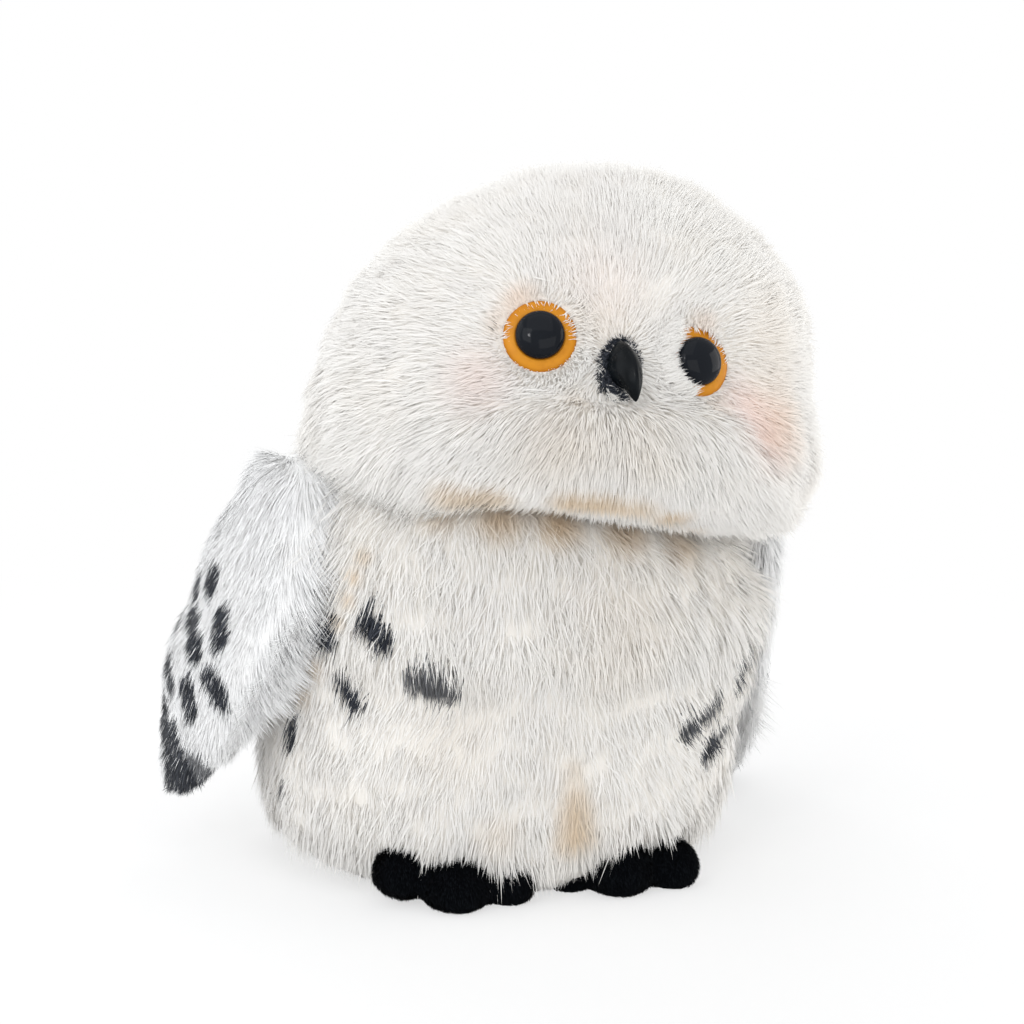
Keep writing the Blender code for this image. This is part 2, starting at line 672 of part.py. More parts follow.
def make_beak(parts, cutters, pivot, frame, stem_end):
    """A hooked half egg with a soft ridge, flat behind, in one piece with its stem."""
    base = PATCH_THICKNESS + 2 * CLEARANCE
    bm = bmesh.new()
    bmesh.ops.create_uvsphere(bm, u_segments=20, v_segments=14, radius=1)
    for vert in bm.verts:
        x, y, z = vert.co
        out = max(0, z)
        narrow = 1 - BEAK_RIDGE_SHARE * out * abs(x) - BEAK_RIDGE_SHARE * max(0, -y) * (1 - out)
        vert.co = (
            x * BEAK_HALF_WIDTH * narrow,
            y * BEAK_HALF_HEIGHT * (1 - BEAK_RIDGE_SHARE * out) - BEAK_HOOK * out**2,
            base + out * BEAK_REACH,
        )
    beak = add_object("beak", bm, parts, (PLASTIC_BLACK, 0.15), pivot)
    beak.matrix_local = frame
    stem = tube_outline(0, STEM_RADIUS, stem_end, base + BEAK_REACH / 2)
    post = add_object("add_beak_stem", turned(stem, RING_STEPS), cutters, None, pivot)
    post.matrix_local = frame
    boolean(beak, post, "UNION")


# Flaps: wings and tail

def flap_sections(length, root_radius, half_chord, blade, root_share, sweep):
    """A flap's sections from root to tip: place, half chord, the chord's middle and half thickness."""
    root = []
    for turn in (30 * DEGREE, 60 * DEGREE, 90 * DEGREE):
        widen = root_share * (0.5 + 0.5 * math.sin(turn))
        root.append((-root_radius * math.cos(turn), half_chord * widen, 0, root_radius * math.sin(turn)))
    rest = [
        (length * s, half_chord * c, sweep * s * s, root_radius * t) for s, c, t in blade
    ]
    return [(-root_radius, 0, 0, 0)] + root + rest + [(length, 0, sweep, 0)]


def flap_form(sections, depth, side):
    """A closed flap that hangs from its hinge line, set in by depth on all sides, its outer face to side."""
    rings = len(sections)
    bm = bmesh.new()
    bmesh.ops.create_uvsphere(bm, u_segments=FLAP_STEPS, v_segments=rings - 1, radius=1)
    top, tip = sections[0][0] + depth, sections[-1][0] - depth * PAD_END_SHARE
    thinnest = depth * PAD_EDGE_SHARE
    for vert in bm.verts:
        x, y, z = vert.co
        ring = round(math.acos(max(-1, min(1, z))) / math.pi * (rings - 1))
        place, chord, middle, thick = sections[ring]
        around = math.hypot(x, y) or 1
        place = max(top, min(tip, place))
        chord, thick = max(thinnest, chord - depth), max(thinnest, thick - depth)
        vert.co = (side * x / around * thick, middle + y / around * chord, -place)
        if ring in (0, rings - 1):
            vert.co = (0, middle, -place)
    return bm


def make_flap(parts, cutters, name, sections, pile, frame, side, names):
    """A flap of two sewn panels round a thin pad, on a pivot at its hinge line."""
    hinge = add_pivot(f"{name}_hinge", frame)
    pad_cut = add_object(f"cut_{name}_pad", flap_form(sections, pile, side), cutters, None, hinge)
    length = sections[-1][0] + CUT_OVERRUN
    half = SEAM_GAP / 2
    for panel, way in zip(names, (1, -1)):
        reach = side * way
        low_x, high_x = sorted((reach * half, -reach * length))
        cutter = add_object(
            f"cut_{panel}", box((low_x, -length, -length), (high_x, length, length)), cutters, None, hinge
        )
        skin = add_object(panel, flap_form(sections, 0, side), parts, (FUR_WHITE, 0.9), hinge)
        boolean(skin, pad_cut)
        boolean(skin, cutter)
    pad = flap_form(sections, pile + CLEARANCE, side)
    add_object(f"{name}_filling", pad, parts, (STUFFING_WHITE, 0.95), hinge)
    return hinge


def make_wings_and_tail(parts, cutters):
    sections = flap_sections(
        WING_LENGTH, WING_ROOT_RADIUS, WING_HALF_CHORD, WING_BLADE_SHARES, WING_ROOT_CHORD_SHARE, WING_SWEEP
    )
    shift = Vector((0, WING_BACK_SHIFT, 0))
    for name, side in (("right", -1), ("left", 1)):
        turn = Matrix.Rotation(WING_SWING[name], 4, "X") @ Matrix.Rotation(-side * WING_SPLAY, 4, "Y")
        turn = turn @ Matrix.Rotation(-side * WING_TWIST, 4, "Z")
        frame = flap_frame(WING_SEAT_SHARE, Vector((side, 0, 0)), turn, shift, sections)
        names = (f"{name}_wing_outer_panel", f"{name}_wing_lining")
        make_flap(parts, cutters, f"{name}_wing", sections, WING_PILE, frame, side, names)
    sections = flap_sections(
        TAIL_LENGTH, TAIL_ROOT_RADIUS, TAIL_HALF_CHORD, TAIL_BLADE_SHARES, TAIL_ROOT_CHORD_SHARE, 0
    )
    turn = Matrix.Rotation(90 * DEGREE, 4, "Z") @ Matrix.Rotation(-TAIL_SPLAY, 4, "Y")
    frame = flap_frame(TAIL_SEAT_SHARE, Vector((0, 1, 0)), turn, Vector(), sections)
    names = ("tail_upper_panel", "tail_lining")
    make_flap(parts, cutters, "tail", sections, TAIL_PILE, frame, 1, names)


# Feet

def foot_middle(side):
    """A foot's middle on the floor, set in from the body's front at the height where the toes come out."""
    for (r0, z0), (r1, z1) in zip(body_line(), body_line()[1:]):
        if z0 <= FOOT_SEAT_HEIGHT < z1:
            radius = r0 + (r1 - r0) * (FOOT_SEAT_HEIGHT - z0) / (z1 - z0)
    angle = side * FOOT_ANGLE
    edge = body_shape((radius * math.sin(angle), -radius * math.cos(angle), FOOT_SEAT_HEIGHT))
    edge.z = 0
    return edge - edge.normalized() * FOOT_INSET


def toe(direction, distance, half_width, half_length, half_height, lift):
    """A stuffed toe whose underside is pressed flat."""
    bm = bmesh.new()
    bmesh.ops.create_uvsphere(bm, u_segments=FOOT_STEPS, v_segments=8, radius=1)
    turn = Matrix.Rotation(direction, 4, "Z")
    for vert in bm.verts:
        x, y, z = vert.co
        height = max(0, half_height * (TOE_SINK_SHARE + z) + lift)
        flat = turn @ Vector((x * half_width, -distance + y * half_length, 0))
        vert.co = (flat.x, flat.y, height)
    return bm


def make_feet(parts, cutters):
    envelope_side = inset_line(body_line(), -2 * CLEARANCE)
    envelope = [(0, -CUT_OVERRUN), (envelope_side[0][0], -CUT_OVERRUN)]
    envelope += envelope_side
    envelope += [(0, envelope_side[-1][1])]
    body = add_object("cut_body_envelope", turned(envelope, place=body_shape), cutters)
    for name, side in (("right", -1), ("left", 1)):
        place = Matrix.Translation(foot_middle(side) + Vector((FEET_ASIDE, 0, 0)))
        foot = add_pivot(f"{name}_foot_middle", place @ Matrix.Rotation(FEET_TURN, 4, "Z"))
        toes = {}
        for toe_name, direction, distance, half_width, half_length, half_height in TOES:
            lift = OUTER_TOE_LIFT[name] if toe_name == "outer" else 0
            bm = toe(side * -direction, distance, half_width, half_length, half_height, lift)
            toes[toe_name] = add_object(f"add_{name}_{toe_name}_toe", bm, cutters, None, foot)
        reach = BODY_HALF_WIDTH
        above = box((-reach, -reach, FOOT_SOLE), (reach, reach, reach))
        below = box((-reach, -reach, -reach), (reach, reach, FOOT_SOLE + CLEARANCE))
        above = add_object(f"cut_{name}_foot_above", above, cutters, None, foot)
        below = add_object(f"cut_{name}_foot_below", below, cutters, None, foot)
        for piece, cutter in ((f"{name}_foot_upper", below), (f"{name}_foot_sole", above)):
            middle = toes["middle"].data.copy()
            obj = bpy.data.objects.new(piece, middle)
            parts.objects.link(obj)
            obj.parent = foot
            middle.materials.append(material(piece, PILE_BLACK, 0.95))
            boolean(obj, toes["inner"], "UNION")
            boolean(obj, toes["outer"], "UNION")
            boolean(obj, body)
            boolean(obj, cutter)


def main():
    clear_scene()
    parts = collection(PARTS)
    cutters = collection(CUTTERS)
    make_body(parts, cutters)
    neck = lean_matrix(pivot_height())
    tilt = LEAN * math.cos(LEAN_DIRECTION) + HEAD_TILT
    upright = Matrix.Translation(neck.translation) @ Matrix.Rotation(tilt, 4, "Y")
    tilt_pivot = add_pivot("head_tilt_pivot", upright)
    turn_pivot = add_pivot("head_turn_pivot", Matrix.Rotation(HEAD_TURN, 4, "Z"), tilt_pivot)
    make_neck(parts, tilt_pivot, turn_pivot)
    make_head(parts, cutters, turn_pivot)
    make_eyes_and_beak(parts, cutters, turn_pivot)
    make_wings_and_tail(parts, cutters)
    make_feet(parts, cutters)


main()
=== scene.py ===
# %% [markdown]
# # A plush snowy owl
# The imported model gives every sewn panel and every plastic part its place. This lesson dresses it: cloth
# and fur over the panels, two plastic eyes, a moulded beak and velvety feet. It starts by loading that
# model, and notes its size before anything is added.

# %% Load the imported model
import json
import math

import bpy
import numpy as np
from mathutils import Matrix, Vector, noise
from mathutils.bvhtree import BVHTree

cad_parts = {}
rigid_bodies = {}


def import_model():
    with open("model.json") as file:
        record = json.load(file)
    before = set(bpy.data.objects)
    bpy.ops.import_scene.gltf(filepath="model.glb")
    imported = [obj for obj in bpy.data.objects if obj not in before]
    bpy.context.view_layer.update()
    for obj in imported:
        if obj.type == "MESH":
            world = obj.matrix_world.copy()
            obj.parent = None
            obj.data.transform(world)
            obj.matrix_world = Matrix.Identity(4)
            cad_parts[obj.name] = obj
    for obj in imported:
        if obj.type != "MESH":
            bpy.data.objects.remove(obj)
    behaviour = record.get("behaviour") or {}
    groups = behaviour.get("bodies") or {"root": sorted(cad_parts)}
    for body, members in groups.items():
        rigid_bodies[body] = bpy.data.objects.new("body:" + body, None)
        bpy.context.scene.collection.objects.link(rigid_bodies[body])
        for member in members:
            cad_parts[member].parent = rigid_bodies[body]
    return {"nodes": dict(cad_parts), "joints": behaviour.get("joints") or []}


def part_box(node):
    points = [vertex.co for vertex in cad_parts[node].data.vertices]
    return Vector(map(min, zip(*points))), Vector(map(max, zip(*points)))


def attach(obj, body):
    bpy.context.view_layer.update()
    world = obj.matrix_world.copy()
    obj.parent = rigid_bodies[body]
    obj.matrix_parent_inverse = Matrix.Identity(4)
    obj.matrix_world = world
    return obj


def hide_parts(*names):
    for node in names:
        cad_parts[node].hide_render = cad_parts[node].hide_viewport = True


for stray in list(bpy.data.objects):
    bpy.data.objects.remove(stray)
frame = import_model()
nodes = frame["nodes"]
joints = {joint["name"]: joint for joint in frame["joints"]}
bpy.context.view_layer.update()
MM = 0.001
bpy.context.scene.view_settings.view_transform = "Standard"

# %% [markdown]
# ## Camera
# The photograph was taken from a little above the owl's eyes and a little to its right. A moderately long
# lens keeps the head from looking larger than the body. The camera comes first, because the dark bars of
# the plumage are placed by looking through it.

# %% Camera
AIM = Vector((5, 0, 121)) * MM
AZIMUTH, ELEVATION = math.radians(-17), math.radians(10)
DISTANCE = 871 * MM
LENS, SENSOR = 85, 36
FRAME_PIXELS = 1024

away = Vector((
    math.sin(AZIMUTH) * math.cos(ELEVATION),
    -math.cos(AZIMUTH) * math.cos(ELEVATION),
    math.sin(ELEVATION),
))
camera_turn = (-away).to_track_quat("-Z", "Y")
bpy.ops.object.camera_add(location=AIM + away * DISTANCE, rotation=camera_turn.to_euler())
camera = bpy.context.object
camera.data.lens, camera.data.sensor_width = LENS, SENSOR
bpy.context.scene.camera = camera


def sight(x, y):
    """The direction from the camera through a pixel of the square frame."""
    across = (x / FRAME_PIXELS - 0.5) * SENSOR / LENS
    up = (0.5 - y / FRAME_PIXELS) * SENSOR / LENS
    return (camera_turn @ Vector((across, up, -1))).normalized()


def pixels_of(points):
    """Where the camera sees some points, as arrays of x and y in the square frame."""
    local = (points - np.array(camera.location)) @ np.array(camera_turn.to_matrix())
    scale = FRAME_PIXELS * LENS / SENSOR / -local[:, 2]
    return FRAME_PIXELS / 2 + local[:, 0] * scale, FRAME_PIXELS / 2 - local[:, 1] * scale


# %% [markdown]
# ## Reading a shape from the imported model
# Each visible piece takes its place from the panel or part that it dresses. The helpers here copy nodes
# into one new mesh, and read a flat part's middle and facing from its corners, so nothing is placed by
# eye.

# %% Helpers for copies and places


def corners_of(obj):
    flat = np.empty(len(obj.data.vertices) * 3)
    obj.data.vertices.foreach_get("co", flat)
    return flat.reshape(-1, 3)


def deselect():
    if bpy.context.mode != "OBJECT":
        bpy.ops.object.mode_set(mode="OBJECT")
    bpy.ops.object.select_all(action="DESELECT")


def make_active(obj):
    deselect()
    obj.select_set(True)
    bpy.context.view_layer.objects.active = obj


def copy_of(name, *node_names):
    """One new mesh object with the merged corners of some CAD nodes."""
    deselect()
    for node_name in node_names:
        node = nodes[node_name]
        twin = bpy.data.objects.new(name, node.data.copy())
        bpy.context.scene.collection.objects.link(twin)
        twin.select_set(True)
        bpy.context.view_layer.objects.active = twin
    if len(node_names) > 1:
        bpy.ops.object.join()
    made = bpy.context.object
    made.data.materials.clear()
    bpy.ops.object.mode_set(mode="EDIT")
    bpy.ops.mesh.select_all(action="SELECT")
    bpy.ops.mesh.remove_doubles(threshold=0.01 * MM)
    bpy.ops.object.mode_set(mode="OBJECT")
    made.name = made.data.name = name
    return made


def finish_with(obj, *steps):
    """Adds each modifier with its settings and applies it."""
    make_active(obj)
    for kind, settings in steps:
        step = obj.modifiers.new(kind.lower(), kind)
        for key, value in settings.items():
            setattr(step, key, value)
        bpy.ops.object.modifier_apply(modifier=step.name)
    return obj


def facing_of(node_name, inside):
    """A flat part's middle, and a turn whose Z looks out from `inside` and whose Y is nearly up."""
    points = corners_of(nodes[node_name])
    middle = (points.min(0) + points.max(0)) / 2
    spread = np.linalg.eigh(np.cov((points - points.mean(0)).T))[1]
    out = Vector(spread[:, 0])
    if out.dot(Vector(middle) - inside) < 0:
        out = -out
    side = Vector((0, 0, 1)).cross(out).normalized()
    return Vector(middle), Matrix((side, out.cross(side), out)).transposed()


def centre(node_name):
    low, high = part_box(node_name)
    return (low + high) / 2


head_middle = centre("head_filling")
body_middle = centre("body_filling")
right_eye, right_eye_turn = facing_of("right_iris_disc", head_middle)
left_eye, left_eye_turn = facing_of("left_iris_disc", head_middle)
beak_middle, beak_turn = facing_of("beak_patch", head_middle)
print("eyes apart, mm:", round((left_eye - right_eye).length / MM, 1))

# %% [markdown]
# ## Shader maths
# A material is a small machine of nodes. Written as Python sums it stays readable, so one class wraps a
# socket and lets the usual signs add Math nodes. Any other node comes from `node`, which sets the node's
# own choices first and then its inputs.

# %% A small language for shaders


class Wire:
    """A number or colour that leaves a node."""

    tree = None

    def __init__(self, socket):
        self.socket = socket

    @classmethod
    def node(cls, kind, settings=None, inputs=None, output=0):
        made = cls.tree.nodes.new(kind)
        for key, value in (settings or {}).items():
            setattr(made, key, value)
        for key, value in (inputs or {}).items():
            cls.feed(made.inputs[key], value)
        return cls(made.outputs[output])

    @classmethod
    def feed(cls, socket, value):
        if isinstance(value, Wire):
            cls.tree.links.new(value.socket, socket)
        elif isinstance(value, (tuple, list)) and len(value) == 3 and socket.type == "RGBA":
            socket.default_value = (*value, 1)
        else:
            socket.default_value = value

    @classmethod
    def maths(cls, operation, *values):
        return cls.node("ShaderNodeMath", {"operation": operation}, dict(enumerate(values)))

    def __add__(self, other):
        return self.maths("ADD", self, other)

    def __sub__(self, other):
        return self.maths("SUBTRACT", self, other)

    def __rsub__(self, other):
        return self.maths("SUBTRACT", other, self)

    def __mul__(self, other):
        return self.maths("MULTIPLY", self, other)

    __radd__ = __add__
    __rmul__ = __mul__


def ramp(value, low, high, start=0.0, end=1.0):
    """Smoothly carries value between low and high to the range from start to end."""
    inputs = {"Value": value, "From Min": low, "From Max": high, "To Min": start, "To Max": end}
    return Wire.node("ShaderNodeMapRange", {"interpolation_type": "SMOOTHSTEP"}, inputs)


def mix(factor, first, second):
    inputs = {"Factor": factor, "A": first, "B": second}
    made = Wire.tree.nodes.new("ShaderNodeMix")
    made.data_type = "RGBA"
    for socket in made.inputs:
        if socket.enabled and socket.name in inputs:
            Wire.feed(socket, inputs[socket.name])
    return Wire(next(socket for socket in made.outputs if socket.enabled))


def place():
    return Wire.node("ShaderNodeTexCoord", output="Object")


def grain(scale, detail=2.0, roughness=0.5, where=None):
    inputs = {"Vector": where or place(), "Scale": scale, "Detail": detail, "Roughness": roughness}
    return Wire.node("ShaderNodeTexNoise", None, inputs)


def own(name):
    """A number stored on the piece's points."""
    return Wire.node("ShaderNodeAttribute", {"attribute_name": name}, output="Fac")


def distance_from(point):
    inputs = {0: place(), 1: tuple(point)}
    return Wire.node("ShaderNodeVectorMath", {"operation": "DISTANCE"}, inputs, output="Value")


def near(point, radius):
    """1 at a point of the object, fading to 0 at a radius."""
    return ramp(distance_from(point), radius, 0)


def material(name, build, **constants):
    """A material whose Principled shader takes constants, and what `build` returns for the rest."""
    made = bpy.data.materials.new(name)
    made.use_nodes = True
    Wire.tree = made.node_tree
    shader = made.node_tree.nodes["Principled BSDF"]
    for key, value in constants.items():
        Wire.feed(shader.inputs[key.replace("_", " ")], value)
    for key, value in build().items():
        Wire.feed(shader.inputs[key], value)
    return made


def dress(obj, finish, slot=None, body=None, stands_for=()):
    """Gives a piece its material, fixes it to its body, and hides the nodes that it stands for."""
    obj.data.materials.clear()
    obj.data.materials.append(finish)
    if body:
        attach(obj, body)
    if stands_for:
        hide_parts(*stands_for)
    return obj


# %% [markdown]
# ## The cloth under the fur
# Faux fur is a knitted backing with long fibres. The backing is a smooth stuffed skin, so copies of the
# panels are melted into one mesh with a voxel remesh and smoothed. Its outer side carries the fibres
# later. One skin for a whole form has no gap at the seams, which long pile hides on the real toy.

# %% Skins
SKIN_VOXEL = 2.4 * MM
WING_VOXEL = 1.6 * MM


def skin(name, voxel, *panels):
    made = copy_of(name, *panels)
    finish_with(
        made,
        ("REMESH", {"mode": "VOXEL", "voxel_size": voxel}),
        ("SMOOTH", {"factor": 0.5, "iterations": 6}),
    )
    made.data.shade_smooth()
    print(name, len(made.data.polygons), "faces")
    return made


HEAD_PANELS = ("face_panel", "chin_ruff_panel", "crown_left_panel", "crown_right_panel")
BODY_PANELS = ("belly_panel", "back_left_panel", "back_right_panel")
RIGHT_WING_PANELS = ("right_wing_outer_panel", "right_wing_lining")
LEFT_WING_PANELS = ("left_wing_outer_panel", "left_wing_lining")
TAIL_PANELS = ("tail_upper_panel", "tail_lining")
head_skin = skin("head_skin", SKIN_VOXEL, *HEAD_PANELS)
body_skin = skin("body_skin", SKIN_VOXEL, *BODY_PANELS)
right_wing_skin = skin("right_wing_skin", WING_VOXEL, *RIGHT_WING_PANELS)
left_wing_skin = skin("left_wing_skin", WING_VOXEL, *LEFT_WING_PANELS)
tail_skin = skin("tail_skin", WING_VOXEL, *TAIL_PANELS)

# %% [markdown]
# ## Stuffed shapes and the ruff
# Fibres that lie down catch more light than fibres that stand, so a fluffy place gets its fullness from
# the stuffed skin and not from longer hair. The skin is moved along its normals like clay: in a little on
# the smooth side of the head, out where the photograph shows it full, out under the head so that no neck
# shows, and out in a thick roll under the beak. The roll's upper edge runs from the beak to the cheek.

# %% Shape the skins
# Degrees round the head in the frame, from its right side, and how far the skin moves out in mm
HEAD_RAISE = (
    (-180, -3), (-172, -2), (-163, 2), (-150, 4), (-130, 3.5), (-110, -1), (-90, -2.5), (-70, -2),
    (-50, -0.5), (-40, 1), (-32, 3.5), (-25, 2), (-18, 0.5), (-10, -1.5), (-4, 0.5), (2, 2.5), (9, 5.5),
    (19, 7), (45, 7), (65, 5.5), (90, 2), (115, -1), (130, -2.2), (150, -3), (180, -3),
)
FRONT_RAISE = -0.5
NECK_RAISE, COLLAR_RAISE = 6 * MM, 15 * MM
# Pixel heights in the photograph's frame, and how far the wing's back edge stands out there in mm
WING_BOW = (
    (450, 1), (480, 0.5), (510, 3.5), (550, 5.5), (600, 4), (640, 6), (670, 5), (705, 1.5), (740, 0),
)
FLANK_TRIM, FLANK_RISE = 3 * MM, 4 * MM
SHOULDER_RISE = 5 * MM
BODY_RAISE, FLAP_INSET = 0.5 * MM, 0.6 * MM
# Heights on the body between which it narrows at the hem, widens at the flank and rises as a collar
HEM_RANGE, FLANK_START, FLANK_END, COLLAR_RANGE = (
    tuple(height * MM for height in pair) for pair in ((40, 70), (50, 70), (112, 136), (98, 128))
)
RUFF_END = (22 * MM, 46 * MM)
WING_FORWARD, WING_INWARD = 9 * MM, 4 * MM
# The upper edge of the ruff, as pixels of the photograph's frame
RUFF_EDGE = (
    (330, 500), (400, 440), (470, 408), (545, 394), (630, 405), (670, 400), (722, 414), (760, 462),
    (800, 540),
)
RUFF_HEIGHT = 5 * MM
PIXEL = 0.36 * MM
# Where a push grows from nothing to its full size: by facing, by pixels, by height or by place
RUFF_FACING, RUFF_SIDE, RUFF_START = (0.05, 0.45), (350, 470), (-1.5 * MM, 4.5 * MM)
WING_UPPER, SHOULDER_RANGE, HEAD_RIM = (570, 700), (-6 * MM, 12 * MM), (0.5, 0.95)
NECK_RANGE, FLANK_FACING, INWARD_FADE = (70 * MM, 94 * MM), (0.1, 0.8), 4


def unit(vectors):
    return vectors / (np.linalg.norm(vectors, axis=-1, keepdims=True) + 1e-12)


def along_skin(vectors, normals):
    """The part of each way that lies along the skin."""
    return unit(vectors - (vectors * normals).sum(1, keepdims=True) * normals)


def smooth(value, low, high):
    share = np.clip((value - low) / (high - low), 0, 1)
    return share * share * (3 - 2 * share)


def normals_of(obj):
    flat = np.empty(len(obj.data.vertices) * 3)
    obj.data.vertices.foreach_get("normal", flat)
    return flat.reshape(-1, 3)


def move_corners(obj, points):
    obj.data.vertices.foreach_set("co", points.astype(np.float32).ravel())
    obj.data.update()


def below_ruff_edge(points):
    """How far below the ruff's upper edge the camera sees some points, in metres."""
    x, y = pixels_of(points)
    return (y - np.interp(x, *zip(*RUFF_EDGE))) * PIXEL


def ruff_share(points, normals):
    """1 on the ruff, 0 above its edge and on the sides and back of the head."""
    x, _ = pixels_of(points)
    facing = smooth(normals @ np.array(away), *RUFF_FACING) * smooth(x, *RUFF_SIDE)
    return smooth(below_ruff_edge(points), *RUFF_START) * facing


def wing_frame(side):
    """A wing's own frame: X outward, Y along its hinge to the back, and -Z to its tip."""
    hinge = joints[f"{side}_wing_flap"]
    origin = Vector(hinge["pos_m"])
    back = Vector(hinge["axis"]) * (1 if side == "right" else -1)
    points = corners_of(nodes[f"{side}_wing_outer_panel"])
    reach = points - np.array(origin)
    reach -= np.outer(reach @ np.array(back), np.array(back))
    down = Vector(reach[np.argmax(np.linalg.norm(reach, axis=1))]).normalized()
    out = back.cross(down) * (1 if side == "right" else -1)
    return np.array(Matrix((out, back, -down)).transposed()), np.array(origin)


def bowed(points, side):
    """A wing's points moved outward towards its back edge, by the table that is read on the right wing."""
    (right, right_origin), (own_axes, own_origin) = wing_frame("right"), wing_frame(side)
    local = (points - own_origin) @ own_axes
    _, height = pixels_of(local @ right.T + right_origin)
    back_share = smooth(local[:, 1], local[:, 1].min(), local[:, 1].max())
    upper = (1 - back_share) * (1 - smooth(height, *WING_UPPER))
    out = np.interp(height, *zip(*WING_BOW)) * back_share * MM - WING_INWARD * upper
    rise = SHOULDER_RISE * smooth(local[:, 2], *SHOULDER_RANGE)
    return points + np.stack([out, -WING_FORWARD * upper, rise], axis=1) @ own_axes.T


frame_right = np.array(camera_turn @ Vector((1, 0, 0)))
frame_up = np.array(camera_turn @ Vector((0, 1, 0)))


def by_angle(points, table, middle_value):
    """A value from a table by the angle round the head in the frame, fading to one value in its middle."""
    ways = unit(points - np.array(head_middle))
    right, up = ways @ frame_right, ways @ frame_up
    rim = smooth(np.hypot(right, up), *HEAD_RIM)
    value = np.interp(np.degrees(np.arctan2(up, right)), *zip(*table))
    return middle_value + (value - middle_value) * rim


def moved_out(points, normals, middle, rise):
    """Points moved along their normals. Where the skin faces inward, only what moves in comes with it."""
    side = np.clip((unit(points - np.array(middle)) * normals).sum(1) * INWARD_FADE, -1, 1)
    step = np.where(side > 0, rise * side, np.minimum(rise, 0) * side)
    return points + normals * step[:, None]


def high_on_body(points):
    return smooth(points[:, 2], *NECK_RANGE)


points, normals = corners_of(head_skin), normals_of(head_skin)
roll = RUFF_HEIGHT * ruff_share(points, normals) * (1 - smooth(below_ruff_edge(points), *RUFF_END))
rise = by_angle(points, HEAD_RAISE, FRONT_RAISE) * MM + roll
move_corners(head_skin, moved_out(points, normals, head_middle, rise))
points, normals = corners_of(body_skin), normals_of(body_skin)
height, flank = points[:, 2], smooth(normals @ frame_right, *FLANK_FACING)
trim = FLANK_TRIM * flank * (1 - smooth(height, *HEM_RANGE))
trim = trim - FLANK_RISE * flank * smooth(height, *FLANK_START) * (1 - smooth(height, *FLANK_END))
collar = COLLAR_RAISE * smooth(height, *COLLAR_RANGE)
rise = BODY_RAISE + NECK_RAISE * high_on_body(points) + collar - trim
move_corners(body_skin, moved_out(points, normals, body_middle, rise))
for piece in (right_wing_skin, left_wing_skin, tail_skin):
    move_corners(piece, corners_of(piece) - FLAP_INSET * normals_of(piece))
for piece, side in ((right_wing_skin, "right"), (left_wing_skin, "left")):
    move_corners(piece, bowed(corners_of(piece), side))
for piece in (head_skin, body_skin):
    finish_with(piece, ("SMOOTH", {"factor": 0.5, "iterations": 3}))
print("the body's skin moves by", round(rise.min() / MM, 1), "to", round(rise.max() / MM, 1), "mm")

# %% [markdown]
# ## Dark bars
# A snowy owl has short dark bars on its wings and flanks. On the toy they are patches of dyed fibres, so
# a fibre is dark along its whole length, and a bar's edge is ragged where fibres cross it. Each bar here
# is a line between two places in the photograph's frame, cast on the form behind them, with a half width.

# %% Bars
# How far above a triangle a ray starts, and the steps along a line of sight, in mm
RAY_START, SIGHT_STEP, SIGHT_STEPS = 0.05, 3, 45
# How much of a gap through the surface is left out when a fibre looks for its bar
THROUGH_LEFT_OUT = 0.85


class Form:
    """A skin as arrays, for casting rays and for planting fibres."""

    def __init__(self, obj):
        mesh = obj.data
        mesh.calc_loop_triangles()
        self.points = corners_of(obj)
        self.normals = normals_of(obj)
        flat = np.empty(len(mesh.loop_triangles) * 3, np.int32)
        mesh.loop_triangles.foreach_get("vertices", flat)
        self.triangles = flat.reshape(-1, 3)
        self.tree = BVHTree.FromPolygons(self.points.tolist(), self.triangles.tolist())
        self.outer = self._outer_triangles()

    def _outer_triangles(self):
        """The triangles from which a straight way out meets nothing of the form itself."""
        a, b, c = (self.points[self.triangles[:, i]] for i in range(3))
        middles = (a + b + c) / 3
        ways = np.cross(b - a, c - a)
        ways /= np.linalg.norm(ways, axis=1, keepdims=True) + 1e-12
        starts = middles + ways * RAY_START * MM
        free = [self.tree.ray_cast(Vector(s), Vector(w))[0] is None for s, w in zip(starts, ways)]
        return self.triangles[np.array(free)]

    def seen_at(self, x, y):
        """Where the camera sees the form through a pixel, or the form's nearest point to that line."""
        way = sight(x, y)
        hit = self.tree.ray_cast(camera.location, way)[0]
        if hit:
            return hit
        steps = range(-SIGHT_STEPS, SIGHT_STEPS + 1)
        places = [camera.location + way * (DISTANCE + step * SIGHT_STEP * MM) for step in steps]
        return min((self.tree.find_nearest(spot) for spot in places), key=lambda found: found[3])[0]


forms = {
    "head": Form(head_skin),
    "body": Form(body_skin),
    "right_wing": Form(right_wing_skin),
    "left_wing": Form(left_wing_skin),
    "tail": Form(tail_skin),
}

